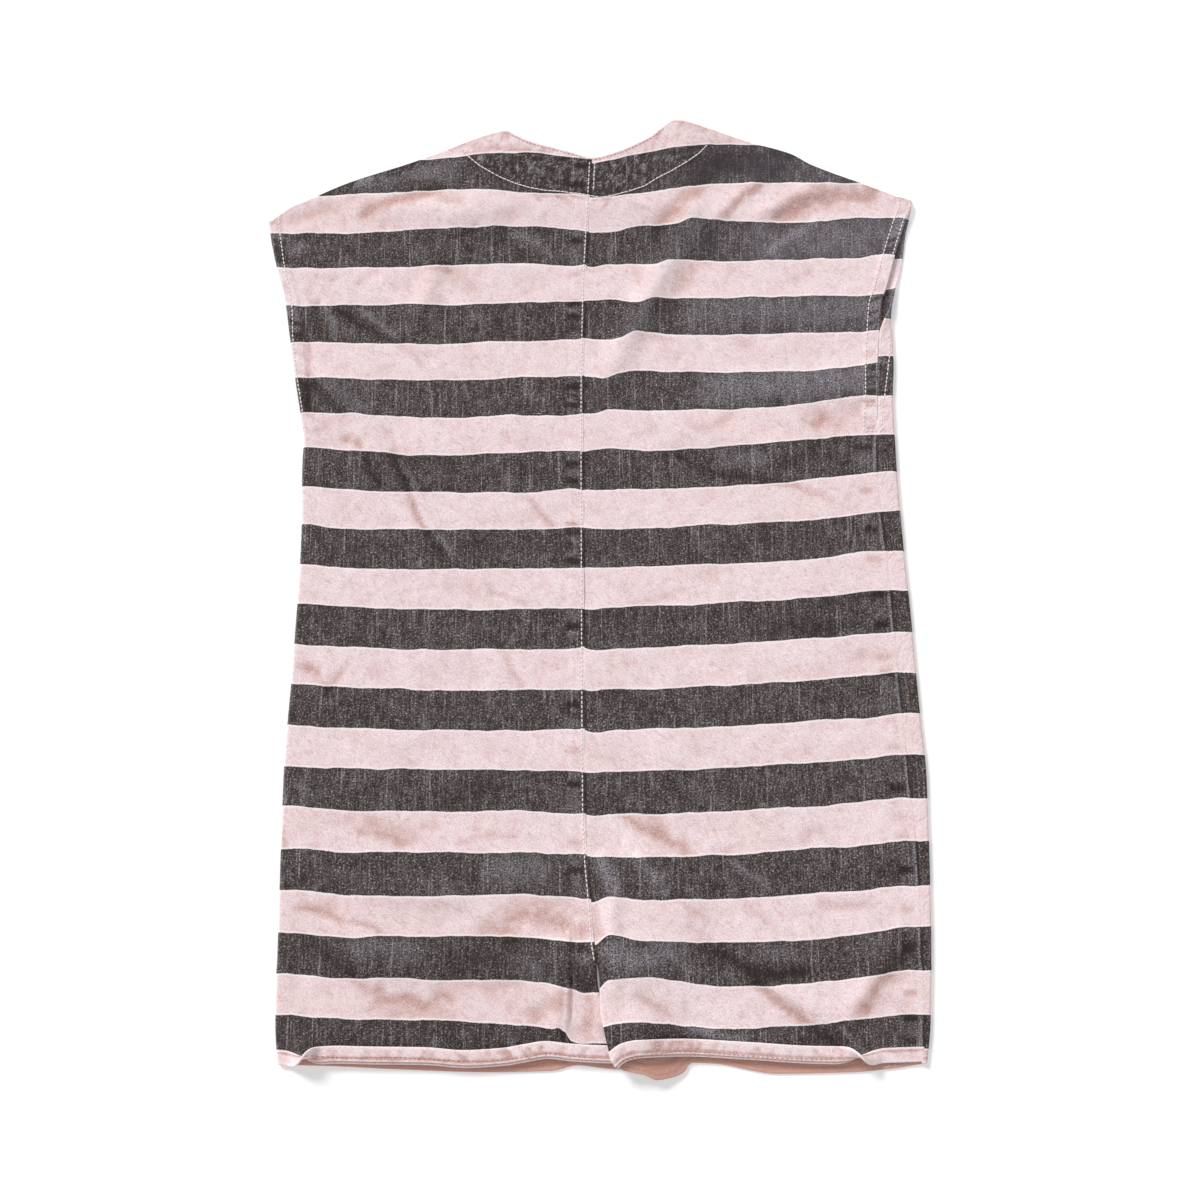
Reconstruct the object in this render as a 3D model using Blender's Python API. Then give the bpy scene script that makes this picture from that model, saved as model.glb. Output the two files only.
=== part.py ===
"""Child's striped romper, laid flat with its back up.

Four panels, each one piece from shoulder to leg hem, and a facing inside the back neck.
+X is the garment's right edge as it lies, +Y runs up to the neck, +Z is up off the surface.
Every panel is a wall of cloth: a grid of points across and along it, bent at its edges.
Sizes are in millimetres in the tables and become metres where the points are made.
"""
import math
from collections import namedtuple

import bmesh
import bpy
from mathutils import Vector

MM = 0.001
LEAST_ANGLE = 1e-6

# Cloth and layers
WALL = 1.2                  # cloth wall
HEM_EXTRA = 0.5             # a turned hem stands this much prouder on the upper side
SEAM_GAP = 0.3              # between pieces at a seam
LAYER_PITCH = 2.6           # front panel's middle to back panel's middle
FRONT_MID = WALL / 2        # middle of the cloth that lies on the surface
FOLD_RADIUS = LAYER_PITCH / 2
NECK_RAISE = 2.2            # room for the facing under the back neck
NECK_RAISE_X = (60, 100)    # full to this far from the middle, gone by that
NECK_RAISE_Y = (222, 244)   # none below this height, full above that
FACING_WALL = 1.0
FACING_DROP = 1.6           # facing's middle under the back panel's middle

# Hems
ARMHOLE_HEM = 7.0
NECK_HEM = 6.0
LEG_HEM = 7.0
HEM_STEP = 0.5              # over this width the hem runs out into the single cloth
FLIP_RADIUS = 1.5           # rolled-up leg hems of the back
FLIPPED = 6.0               # cloth between the roll and the hem's edge
TOP_ROUNDS = 6              # rounds that settle where a column meets the upper outline

# Legs: the right leg lies over the left leg's inner part
CROTCH_Y = -232.0
LIFT = 4.3                  # right leg's inner part, above the left leg
LIFT_TOP_Y = -198.0
LIFT_FULL_Y = -244.0
LIFT_RIGHT_X = (22.0, 62.0)     # full on the inner side of this, gone on the outer side of that
LIFT_LEFT_X = (-34.0, 4.0)
LIFT_LEFT_END_Y = -250.0    # the left leg is down again below this
INSEAM_TOP_Y = (-246.0, -234.0)     # the legs' inner edges turn down between these heights
HEM_LIFT = 3.6              # more at the hem, over the left leg's rolled hem
HEM_LIFT_Y = (-277.0, -258.0)
SEAM_TURN = math.radians(70)    # how far an edge turns down to a seam at the outline
SEAM_ARC = FOLD_RADIUS * SEAM_TURN
HEM_UNTURN = 0.45           # the inseam turns down this much less at the rolled hems
HEM_UNTURN_Y = (-286.0, -264.0)
UNDERARM_Y = (78.0, 96.0)   # left side seam closes between these heights
SHOULDER_X = (57.0, 64.0)   # shoulder seam closes between these distances from the neck's middle
SHOULDER_TIP_X = (198.0, 206.0)     # and opens again between these
NECK_MIDDLE_X = 0.6
WRAP_OVER_Y = 150.0         # the right front is turned right over below this height
WRAP_FLAT_Y = 200.0         # and lies flat above this one
LEAST_WRAP = 0.4            # cloth kept beyond the turn for the grid's last line

# Outlines: a row for each height, (y, x)
LEFT_EDGE = [               # left armhole edge and side seam
    (-296, -180.0), (-268, -182.6), (-200, -183.5), (-130, -184.0), (-57, -181.2), (19, -179.2),
    (70, -180.4), (84, -180.0), (97, -181.7), (123, -186.4), (150, -190.8), (177, -195.2),
    (204, -202.6), (227, -207.4), (250, -210.0),
]
RIGHT_FOLD = [              # right edge of the whole garment
    (-296, 194.2), (-268, 197.8), (-200, 201.0), (-130, 201.7), (-81, 198.9), (-32, 196.5),
    (19, 193.4), (70, 191.3), (110, 190.8), (136, 192.2), (150, 192.2), (163, 191.6),
    (182, 194.3), (200, 198.8), (222, 202.3), (244, 207.2), (262, 207.6),
]
SIDE_SEAM = [               # right back's edge: side seam, then armhole
    (-296, 190.6), (-283, 192.8), (-239, 194.2), (-189, 194.2), (-138, 191.6), (-88, 188.2), (-38, 185.8),
    (13, 182.3), (63, 178.8), (106, 180.0), (131, 181.0), (157, 183.0), (173, 184.6),
    (186, 188.9), (209, 195.5), (229, 202.0), (243, 206.8), (262, 207.6),
]
WRAP = [                    # cloth of the right front past the fold's start, on the upper side
    (148, 10.0), (155, 8.0), (163, 5.2), (171, 3.0), (182, 1.2), (192, 0.2), (200, 0.0),
]
BACK_SEAM = [               # centre back seam
    (-246, 5.2), (-236, 4.1), (-227, 2.6), (-201, 0.5), (-175, -1.9), (-142, -3.1), (-20, -4.0),
    (109, -4.6), (176, -3.8), (223, -1.9), (272, 0.6), (310, 1.8),
]
RIGHT_INNER = [             # right leg's inner fold, below the crotch
    (-296, 13.0), (-287, 11.0), (-275, 8.1), (-262, 5.4), (-246, 5.2), (-232, 3.5),
]
LEFT_INNER = [              # left leg's inner fold, under the right leg
    (-296, 18.0), (-280, 15.0), (-262, 9.0), (-250, 5.0), (-242, 4.2), (-232, 3.3),
]
# Upper outlines: a row for each place across, (x, y)
SHOULDER_LINE = [           # shoulder tip, neck point, back neck, neck point, shoulder tip
    (-208, 229.0), (-195, 240.4), (-182, 246.6), (-157, 258.2), (-118, 271.8), (-79, 287.2),
    (-66, 291.4), (-55, 293.2), (-51, 291.0), (-40, 285.8), (-14, 278.2), (1, 274.0), (12, 276.6),
    (38, 288.6), (48, 296.6), (54, 300.6), (58, 300.8), (78, 295.6), (104, 286.6), (130, 278.6),
    (143, 271.0), (182, 255.2), (208, 244.2),
]
FRONT_NECK = [              # deeper neck of the hidden front, between the neck points
    (-55, 293.2), (-46, 272.0), (-30, 247.0), (-12, 229.0), (1, 221.0), (14, 229.0), (32, 249.0),
    (48, 279.0), (56, 301.0),
]
BACK_HEM_FOLD = [           # where each back leg hem turns; (x, y) of its lower edge
    (-182, -293.0), (-164, -293.2), (-146, -291.4), (-128, -291.6), (-95, -292.0), (-72, -293.6),
    (-50, -292.4), (-36, -290.4), (-24, -288.8), (-10, -290.0), (9, -291.0), (24, -291.4),
]
RIGHT_HEM_FOLD = [
    (4, -296.0), (12, -295.2), (20, -292.6), (30, -289.4), (52, -287.6), (90, -289.0),
    (126, -291.4), (150, -292.0), (164, -291.6), (198, -290.6),
]
FRONT_HEM = [               # lower edges of the fronts, which show under the back hems
    (-184, -293.0), (-150, -293.8), (-116, -295.4), (-58, -297.2), (-23, -296.4), (-8, -293.4),
    (8, -295.2), (24, -296.4),
]
RIGHT_FRONT_HEM = [
    (8, -290.0), (16, -296.4), (24, -298.2), (31, -301.2), (42, -299.6), (50, -296.4), (58, -292.0),
    (70, -292.4), (104, -298.0), (150, -297.2), (173, -295.4), (198, -291.6),
]
LEFT_FLIP = [               # share of a full turn-up of each back hem, (x, share)
    (-182, 0.0), (-172, 0.0), (-142, 1.0), (17, 1.0),
]
RIGHT_FLIP = [
    (12, 1.0), (144, 1.0), (176, 0.0), (198, 0.0),
]
FACING_LOW = [              # lower edge of the neck facing, (x, y)
    (-86, 283.4), (-72, 268.6), (-58, 260.0), (-40, 253.0), (-19, 250.2), (6, 246.2), (26, 250.8),
    (43, 260.0), (61, 270.6), (78, 286.0),
]

# Largest folds of the back: from (x0, y0) to (x1, y1), height and half width, fading at the ends
Fold = namedtuple("Fold", "x0 y0 x1 y1 height half_width")
FOLDS = [Fold(*row) for row in [
    (78.0, 262.0, 6.0, 118.0, 3.0, 13.0),        # long diagonal from the right shoulder
    (118.0, 268.0, 74.0, 226.0, 2.6, 9.0),
    (160.0, 258.0, 96.0, 230.0, 2.0, 9.0),
    (-60.0, 236.0, -160.0, 240.0, 2.0, 14.0),
    (-150.0, 196.0, -104.0, 160.0, 1.6, 8.0),
    (-92.0, 216.0, -116.0, 150.0, 1.6, 10.0),
    (-176.0, 128.0, -96.0, 30.0, 2.4, 11.0),
    (-60.0, 110.0, -22.0, 52.0, 1.8, 9.0),
    (52.0, 98.0, 150.0, 66.0, 1.6, 12.0),
    (150.0, 128.0, 176.0, 104.0, 2.0, 10.0),
    (20.0, -168.0, 66.0, -216.0, 2.4, 11.0),
    (-140.0, -196.0, -70.0, -200.0, 1.6, 9.0),
    (-160.0, -234.0, -84.0, -244.0, 2.0, 11.0),
    (-70.0, -238.0, -20.0, -232.0, 2.4, 14.0),
    (-17.0, -222.0, -18.0, -272.0, 2.8, 8.0),    # beside the crotch, on the left leg
    (86.0, -236.0, 152.0, -276.0, 2.2, 10.0),
    (186.0, -216.0, 150.0, -268.0, 2.2, 11.0),
    (13.0, -190.0, 14.0, -262.0, 1.6, 8.0),      # soft roll along the right leg's inner fold
]]
FOLD_EDGE_FADE = 14.0       # folds die out this near a panel's outline
FOLD_SEAM_SHARE = 8.0       # but this much less at the centre seam
FOLD_HEM_CLEAR = 4.0

# Grids: distances of the first and last lines from a panel's edges, and the lines between
SEAM_TURN_UP = 8.6          # the centre seam's turnings, inside
ACROSS_SEAM = [SEAM_ARC * k / 3 for k in (0, 1, 2, 3)] + [SEAM_TURN_UP, SEAM_TURN_UP + HEM_STEP]
ACROSS_OUTER = [ARMHOLE_HEM + HEM_STEP, ARMHOLE_HEM] + [SEAM_ARC * k / 3 for k in (3, 2, 1, 0)]
TOP_LINES = [NECK_HEM + HEM_STEP, NECK_HEM] + [SEAM_ARC * k / 3 for k in (3, 2, 1, 0)]
HEM_LINES = [0.0, LEG_HEM, LEG_HEM + HEM_STEP]
BACK_COLUMNS = 18
BACK_ROWS = 28
FRONT_COLUMNS = 8
FRONT_ROWS = 30
BEND_STEPS = 5
FACING_COLUMNS = 30
FACING_ROWS = 4
FACING_END_CLEAR = (4.0, 2.0)       # facing stops this far inside its table's ends
FACING_TOP_CLEAR = 3.0              # and this far under the neck edge
FACING_LEAST = 1.5                  # its least depth, at the ends

PINK = (0.82, 0.65, 0.65, 1.0)
PINK_DARK = (0.70, 0.50, 0.49, 1.0)
CHARCOAL = (0.10, 0.085, 0.085, 1.0)


def table(rows, at):
    """Smooth value of a two-column table at a place, held level beyond its ends."""
    if at <= rows[0][0]:
        return rows[0][1]
    if at >= rows[-1][0]:
        return rows[-1][1]
    k = next(i for i in range(len(rows) - 1) if at <= rows[i + 1][0])
    (x0, y0), (x1, y1) = rows[k], rows[k + 1]
    span = x1 - x0
    slope = (y1 - y0) / span
    before = (y0 - rows[k - 1][1]) / (x0 - rows[k - 1][0]) if k else slope
    after = (rows[k + 2][1] - y1) / (rows[k + 2][0] - x1) if k + 2 < len(rows) else slope
    m0 = blend_slopes(before, slope)
    m1 = blend_slopes(slope, after)
    t = (at - x0) / span
    return (y0 * (1 + 2 * t) * (1 - t) ** 2 + m0 * span * t * (1 - t) ** 2
            + y1 * t * t * (3 - 2 * t) - m1 * span * t * t * (1 - t))


def blend_slopes(a, b):
    """Slope at a table row that never overshoots its neighbours."""
    return 0.0 if a * b <= 0 else 2 * a * b / (a + b)


def smooth(x, low, high):
    """0 at low, 1 at high, eased between."""
    t = min(max((x - low) / (high - low), 0.0), 1.0)
    return t * t * (3 - 2 * t)


def bend(distance, start, arc, angle):
    """Follow cloth for a distance: straight to start, an arc of cloth turning by angle, straight on.

    Returns how far forward and how far up the point is."""
    if distance <= start or angle < LEAST_ANGLE:
        return distance, 0.0
    curve = angle / arc
    turned = min(distance - start, arc) * curve
    forward = start + math.sin(turned) / curve
    up = (1 - math.cos(turned)) / curve
    rest = max(distance - start - arc, 0.0)
    return forward + rest * math.cos(angle), up + rest * math.sin(angle)


def stations(length, near, far, count):
    """Distances along a length: fixed ones at both ends and count even ones between."""
    first, last = near[-1], length - far[0]
    middle = [first + (last - first) * (i + 1) / (count + 1) for i in range(count)]
    return near + middle + [length - d for d in far]


def fold_height(x, y):
    """Height of the large folds over the flat back at a place."""
    total = 0.0
    for fold in FOLDS:
        dx, dy = fold.x1 - fold.x0, fold.y1 - fold.y0
        long = math.hypot(dx, dy)
        along = ((x - fold.x0) * dx + (y - fold.y0) * dy) / long
        off = ((x - fold.x0) * dy - (y - fold.y0) * dx) / long
        start = smooth(along, -fold.half_width, long * 0.3)
        end = 1 - smooth(along, long * 0.7, long + fold.half_width)
        total += fold.height * start * end * math.exp(-2.2 * (off / fold.half_width) ** 2)
    return total


def leg_lift(x, y, side):
    """How far the crotch and the right leg's inner part are raised over the left leg."""
    down = 1 - smooth(y, LIFT_FULL_Y, LIFT_TOP_Y)
    if side > 0:
        at_hem = HEM_LIFT * (1 - smooth(y, *HEM_LIFT_Y))
        return (LIFT * down + at_hem) * (1 - smooth(x, *LIFT_RIGHT_X))
    return LIFT * down * smooth(y, LIFT_LEFT_END_Y, CROTCH_Y) * smooth(x, *LIFT_LEFT_X)


def neck_raise(x, y):
    """Room under the back neck for the facing."""
    return NECK_RAISE * (1 - smooth(abs(x), *NECK_RAISE_X)) * smooth(y, *NECK_RAISE_Y)


class Panel:
    """One cut piece: its outline, which edges bend, and its grid of points."""

    def __init__(self, name, side, is_back, colour):
        self.name, self.side, self.is_back, self.colour = name, side, is_back, colour
        self.mid = FRONT_MID + (LAYER_PITCH if is_back else 0.0)
        self.columns = BACK_COLUMNS if is_back else FRONT_COLUMNS
        self.rows = BACK_ROWS if is_back else FRONT_ROWS
        self.wraps = side > 0 and not is_back

    def inner(self, y):
        """Centre seam above the crotch, the leg's inner fold below it."""
        if y >= CROTCH_Y:
            return table(BACK_SEAM, y) + self.side * SEAM_GAP / 2
        return table(RIGHT_INNER if self.side > 0 else LEFT_INNER, y) + self.side * SEAM_GAP / 2

    def outer(self, y):
        """Outer edge at a height."""
        if self.side < 0:
            return table(LEFT_EDGE, y)
        return table(SIDE_SEAM, y) if self.is_back else table(RIGHT_FOLD, y)

    def top(self, x):
        """Upper edge at a place across."""
        if not self.is_back and FRONT_NECK[0][0] < x < FRONT_NECK[-1][0]:
            return table(FRONT_NECK, x)
        return table(SHOULDER_LINE, x)

    def hem_line(self, x):
        """Lowest line of the leg at a place across."""
        if self.is_back:
            return table(RIGHT_HEM_FOLD if self.side > 0 else BACK_HEM_FOLD, x)
        return table(RIGHT_FRONT_HEM if self.side > 0 else FRONT_HEM, x)

    def outer_bend(self, y):
        """Angle, arc of cloth and cloth beyond it at the outer edge."""
        if self.wraps:
            seam = table(RIGHT_FOLD, y) - table(SIDE_SEAM, y)
            wrap = table(WRAP, y) if y > WRAP_OVER_Y else seam - SEAM_GAP
            beyond = max(wrap - FOLD_RADIUS - WALL / 2, LEAST_WRAP)
            angle = math.pi * (1 - smooth(y, WRAP_OVER_Y, WRAP_FLAT_Y))
            return angle, math.pi * FOLD_RADIUS, beyond
        if self.side < 0:
            return (1 - smooth(y, *UNDERARM_Y)) * SEAM_TURN, SEAM_ARC, 0.0
        return 0.0, SEAM_ARC, 0.0

    def across(self, y):
        """Cloth distances of the grid's columns, with the width and the bend's start."""
        angle, arc, beyond = self.outer_bend(y)
        turned = min(angle, math.pi / 2)
        reach = arc
        if angle > LEAST_ANGLE:
            reach = math.sin(turned) * (arc / angle + WALL / 2)
        start = abs(self.outer(y) - self.inner(y)) - reach
        far = ACROSS_OUTER
        if self.wraps:
            far = [beyond + arc * (1 - i / BEND_STEPS) for i in range(BEND_STEPS + 1)]
            far = [far[0] + ARMHOLE_HEM] + far + [0.0]
        return stations(start + arc + beyond, ACROSS_SEAM, far, self.columns), start, arc, angle

    def inner_drop(self, distance, y):
        """Turn-down of a leg's inner edge towards the inseam."""
        closed = 1 - smooth(y, *INSEAM_TOP_Y)
        angle = closed * SEAM_TURN * (1 - HEM_UNTURN * (1 - smooth(y, *HEM_UNTURN_Y)))
        forward, _ = bend(SEAM_ARC, 0.0, SEAM_ARC, angle)
        forward += WALL / 2 * math.sin(angle)
        if distance >= SEAM_ARC:
            return forward - SEAM_ARC, 0.0
        reached, fallen = bend(SEAM_ARC - distance, 0.0, SEAM_ARC, angle)
        return forward - distance - reached, fallen

    def point(self, column, row):
        """Middle of the cloth at a grid crossing, in millimetres."""
        y_top = 0.0
        for _ in range(TOP_ROUNDS):
            steps, start, arc, angle = self.across(y_top)
            x = self.inner(y_top) + self.side * min(steps[column], start)
            y_top = self.top(x)
        along, run, flip_start, flip = self.column_run(x, y_top)
        forward, hem_up = bend(run - along[row], flip_start, math.pi * FLIP_RADIUS, flip)
        top_shift, top_turn = self.shoulder_bend(x, run - along[row])
        y = y_top - forward + top_shift
        steps, start, arc, angle = self.across(y)
        out, out_turn = bend(steps[column], start, arc, angle)
        shift, inner_turn = self.inner_drop(steps[column], y)
        x = self.inner(y) + self.side * (out + shift)
        turns = top_turn + inner_turn + out_turn
        z = self.mid + leg_lift(x, y, self.side)
        if self.is_back:
            z += hem_up - turns + self.relief(x, y) + neck_raise(x, y)
        else:
            z += turns
        return Vector((x, y, z))

    def column_run(self, x, y_top):
        """Cloth distances up a column from its hem edge, its length, and its hem's roll."""
        share = 0.0
        if self.is_back:
            share = table(RIGHT_FLIP if self.side > 0 else LEFT_FLIP, x)
        arc = math.pi * FLIP_RADIUS
        rolled_reach = FLIP_RADIUS + WALL / 2
        flat_reach = arc + FLIPPED
        start = y_top - self.hem_line(x) - share * rolled_reach - (1 - share) * flat_reach
        run = start + arc + FLIPPED
        near = HEM_LINES
        if self.is_back:
            near = [0.0, FLIPPED - HEM_STEP]
            near += [FLIPPED + arc * i / BEND_STEPS for i in range(BEND_STEPS + 1)]
        return stations(run, near, TOP_LINES, self.rows), run, start, math.pi * share

    def shoulder_bend(self, x, to_edge):
        """Turn of the upper edge towards the shoulder seam; the neck stays flat."""
        if to_edge >= SEAM_ARC:
            return 0.0, 0.0
        closed = smooth(abs(x - NECK_MIDDLE_X), *SHOULDER_X) * (1 - smooth(abs(x), *SHOULDER_TIP_X))
        forward, turn = bend(SEAM_ARC - to_edge, 0.0, SEAM_ARC, closed * SEAM_TURN)
        return forward - (SEAM_ARC - to_edge), turn

    def relief(self, x, y):
        """Large folds, fading towards the outline."""
        edge = min(abs(x - self.inner(y)) + FOLD_SEAM_SHARE, abs(self.outer(y) - x),
                   self.top(x) - y, y - self.hem_line(x) - FOLD_HEM_CLEAR)
        return fold_height(x, y) * smooth(edge, 0.0, FOLD_EDGE_FADE)

    def grid(self):
        """All middle points, rows from the hem up."""
        steps, *_ = self.across(0.0)
        along, *_ = self.column_run(0.0, self.top(0.0))
        return [[self.point(i, j) for i in range(len(steps))] for j in range(len(along))]

    def extra(self, points, j, i):
        """Added thickness on the upper side, where a back's hem is turned."""
        top_hem = j > len(points) - len(TOP_LINES)
        armhole_hem = i > len(points[0]) - len(ACROSS_OUTER) and points[j][i].y > UNDERARM_Y[1]
        return HEM_EXTRA if self.is_back and (top_hem or armhole_hem or j <= 1) else 0.0

    def build(self):
        """Wall of cloth round the middle points."""
        points = self.grid()
        extra = [[self.extra(points, j, i) for i in range(len(points[0]))]
                 for j in range(len(points))]
        wall_object(self.name, points, extra, WALL, self.colour, self.side > 0)


def tangent(line, k):
    """Direction of a line of points at one of them, carried round the bend at its ends."""
    if 0 < k < len(line) - 1:
        return (line[k + 1] - line[k - 1]).normalized()
    step = 1 if k == 0 else -1
    chord = (line[k + step] - line[k]).normalized()
    onward = (line[k + 2 * step] - line[k]).normalized()
    return (2 * chord - onward).normalized() * step


def wall_object(name, points, extra, wall, colour, faces_up):
    """Closed wall round a grid of middle points; extra thickens the upper side."""
    rows, columns = len(points), len(points[0])
    mesh = bmesh.new()
    upper, lower = [], []
    for j in range(rows):
        upper.append([])
        lower.append([])
        for i in range(columns):
            across = tangent(points[j], i)
            along = tangent([line[i] for line in points], j)
            normal = across.cross(along).normalized() * (1 if faces_up else -1)
            middle = points[j][i]
            upper[-1].append(mesh.verts.new((middle + normal * (wall / 2 + extra[j][i])) * MM))
            lower[-1].append(mesh.verts.new((middle - normal * wall / 2) * MM))
    for j in range(rows - 1):
        for i in range(columns - 1):
            for sheet in (upper, lower):
                mesh.faces.new((sheet[j][i], sheet[j][i + 1], sheet[j + 1][i + 1], sheet[j + 1][i]))
    rim = [(0, i) for i in range(columns)] + [(j, columns - 1) for j in range(1, rows)]
    rim += [(rows - 1, i) for i in range(columns - 2, -1, -1)] + [(j, 0) for j in range(rows - 2, 0, -1)]
    for (j0, i0), (j1, i1) in zip(rim, rim[1:] + rim[:1]):
        mesh.faces.new((upper[j0][i0], upper[j1][i1], lower[j1][i1], lower[j0][i0]))
    bmesh.ops.recalc_face_normals(mesh, faces=mesh.faces)
    data = bpy.data.meshes.new(name)
    mesh.to_mesh(data)
    mesh.free()
    data.materials.append(cloth_material(name, colour))
    data.shade_smooth()
    piece = bpy.data.objects.new(name, data)
    bpy.context.scene.collection.objects.link(piece)
    return piece


def cloth_material(name, colour):
    """Plain matt cloth in a piece's main colour."""
    material = bpy.data.materials.new(name)
    material.use_nodes = True
    shader = material.node_tree.nodes["Principled BSDF"]
    shader.inputs["Base Color"].default_value = colour
    shader.inputs["Roughness"].default_value = 0.9
    shader.inputs["Metallic"].default_value = 0.0
    return material


def build_facing(backs):
    """Curved strip under the back neck, made from the back's own surface, moved down."""
    left = FACING_LOW[0][0] + FACING_END_CLEAR[0]
    right = FACING_LOW[-1][0] - FACING_END_CLEAR[1]
    points = [[] for _ in range(FACING_ROWS + 1)]
    for i in range(FACING_COLUMNS + 1):
        x = left + (right - left) * i / FACING_COLUMNS
        low = table(FACING_LOW, x)
        deep = max(table(SHOULDER_LINE, x) - FACING_TOP_CLEAR - low, FACING_LEAST)
        for j, line in enumerate(points):
            y = low + deep * j / FACING_ROWS
            panel = backs[0] if x < table(BACK_SEAM, y) else backs[1]
            z = panel.mid + panel.relief(x, y) + neck_raise(x, y) - FACING_DROP
            line.append(Vector((x, y, z)))
    plain = [[0.0] * (FACING_COLUMNS + 1) for _ in points]
    wall_object("back_neck_facing", points, plain, FACING_WALL, CHARCOAL, True)


def clear_scene():
    """Remove what the scene starts with."""
    for item in list(bpy.data.objects):
        bpy.data.objects.remove(item, do_unlink=True)


def main():
    """Build the five pieces."""
    clear_scene()
    backs = [Panel("back_left", -1, True, PINK), Panel("back_right", 1, True, PINK)]
    fronts = [Panel("front_left", -1, False, PINK_DARK), Panel("front_right", 1, False, PINK_DARK)]
    for panel in backs + fronts:
        panel.build()
    build_facing(backs)


main()
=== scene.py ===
"""Child's striped romper laid flat with its back up, for the look of the part.

Four panels of washed cotton twill, a facing inside the back neck, and the sewing on them.
+X is the garment's right edge as it lies, +Y runs up to the neck, +Z is up off the surface.
Tables and sizes are in millimetres; points become metres where meshes are made.
"""
from __future__ import annotations

import logging
import math
from dataclasses import dataclass, replace
from enum import Enum
from functools import partial

import bpy
import numpy as np
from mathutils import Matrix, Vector, noise
from mathutils.bvhtree import BVHTree


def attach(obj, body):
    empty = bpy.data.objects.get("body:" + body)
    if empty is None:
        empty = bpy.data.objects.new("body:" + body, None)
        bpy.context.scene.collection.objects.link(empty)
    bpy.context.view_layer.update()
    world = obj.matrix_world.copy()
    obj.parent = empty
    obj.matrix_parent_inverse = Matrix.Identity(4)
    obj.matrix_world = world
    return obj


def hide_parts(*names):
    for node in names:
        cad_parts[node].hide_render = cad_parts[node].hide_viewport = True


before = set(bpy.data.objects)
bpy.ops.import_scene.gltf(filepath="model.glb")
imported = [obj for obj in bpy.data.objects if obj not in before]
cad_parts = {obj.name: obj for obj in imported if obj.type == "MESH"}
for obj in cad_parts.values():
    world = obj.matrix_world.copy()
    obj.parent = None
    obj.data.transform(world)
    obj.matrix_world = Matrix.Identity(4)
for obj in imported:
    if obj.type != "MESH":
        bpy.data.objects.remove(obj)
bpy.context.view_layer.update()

LOG = logging.getLogger("romper")
MM = 0.001
RIM_STEPS = 4               # faces round a cut edge of cloth
RIM_BULGE = 0.8             # how far that edge stands out, as a share of half the thickness

# ---------------------------------------------------------------- cloth and layers
CLOTH = 0.8                 # one thickness of cloth
HEM_EXTRA = 0.55            # a turned hem stands this much prouder
FLAT_HEM_EXTRA = 0.15       # and this much where it is rolled under
ALLOWANCE_EXTRA = 0.1       # and the cloth over the centre seam's allowance
SEAM_GAP = 0.16
LAYER_PITCH = 2.6           # front panel's middle to back panel's middle
FRONT_MID = 0.6
FOLD_RADIUS = LAYER_PITCH / 2
FOLD_WALL = 1.2             # wall that the bends leave room for
NECK_RAISE = 2.2            # the back neck lies this much higher, over the facing
NECK_RAISE_X = (60, 100)
NECK_RAISE_Y = (222, 244)
FACING_CLOTH = 0.8
FACING_DROP = 1.6           # facing's middle below the back's
FACED_HALF = 84             # the facing shows through this far from the middle

# ---------------------------------------------------------------- hems
ARMHOLE_HEM = 7.8
NECK_HEM = 6.0
LEG_HEM = 7.0
HEM_STEP = 0.4
HEM_STITCH_IN = 0.7         # a hem's stitches dent the cloth this far inside its inner edge
SEAM_TURN_UP = 8.6          # allowance turned to the left of the centre seam
FLIP_RADIUS = 1.2
FLIP_ARC = math.pi * FLIP_RADIUS
FLIPPED = 7.5               # cloth of a leg hem that lies rolled up on the back
ROLLED_EXTRA = 0.8          # right side still shows this far past the last line of its rim
HEM_Y = -288.0              # about where the legs end
OUTSIDE_PINK = 8.0          # pink cloth between the last dark stripe and the leg hem's edge
HEM_STRIPE_FADE = (OUTSIDE_PINK + 0.5, OUTSIDE_PINK + 12.0)    # there the stripes leave the hem
LAST_EDGE = 575.0           # that stripe's lower edge, as cloth below the first stripe
AT_LINE = 0.01              # a grid line counts as inside the hem that ends on it

# ---------------------------------------------------------------- steps of the grids
BODY_LENGTH = 570.0         # cloth that the even rows share out
TOP_ROUNDS = 6              # rounds that find where the columns meet the upper edge
ARC_STEPS = 4               # faces along a seam's bend
WRAP_STEPS = 10             # and along the bend at the wrapped right edge
WRAP_SHARES = (0.75, 0.5, 0.25, 0.0)    # lines on the cloth past that bend
ROLL_STEPS = 12             # faces along the roll of a leg hem
ROLL_FIRST = 5              # the first of them; the lines of its rim come before
RIM_PITCH, RIM_LINES = 0.3, 5
HEM_PITCH = 1.9             # largest step beside a hem
ALLOWANCE_PITCH, ALLOWANCE_REACH = 1.3, 30.0
ROLLED_PITCH, TURNED_PITCH = 0.9, 1.5   # on a rolled and on a turned leg hem
EDGE_STRIP = 1.0            # first line inside a leg hem's edge, and last one past a roll

# ---------------------------------------------------------------- legs and bends
CROTCH_Y = -232.0
LIFT = 4.3
LIFT_TOP_Y = -198.0
LIFT_FULL_Y = -244.0
LIFT_RIGHT_X = (22.0, 62.0)
LIFT_LEFT_X = (-34.0, 4.0)
LIFT_LEFT_END_Y = -250.0
INSEAM_TOP_Y = (-246.0, -234.0)
HEM_LIFT = 3.6
HEM_LIFT_Y = (-277.0, -258.0)
SEAM_TURN = math.radians(70)
SEAM_ARC = FOLD_RADIUS * SEAM_TURN
HEM_UNTURN = 0.45
HEM_UNTURN_Y = (-286.0, -264.0)
UNDERARM_Y = (78.0, 96.0)
SHOULDER_X = (57.0, 64.0)
SHOULDER_TIP_X = (198.0, 206.0)
NECK_MIDDLE_X = 0.6
WRAP_OVER_Y = 150.0
WRAP_FLAT_Y = 200.0
LEAST_WRAP = 0.4
WRAP_PUCKER = (3.0, 4.5)    # the wrapped edge puckers past this much cloth of its bend

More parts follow.
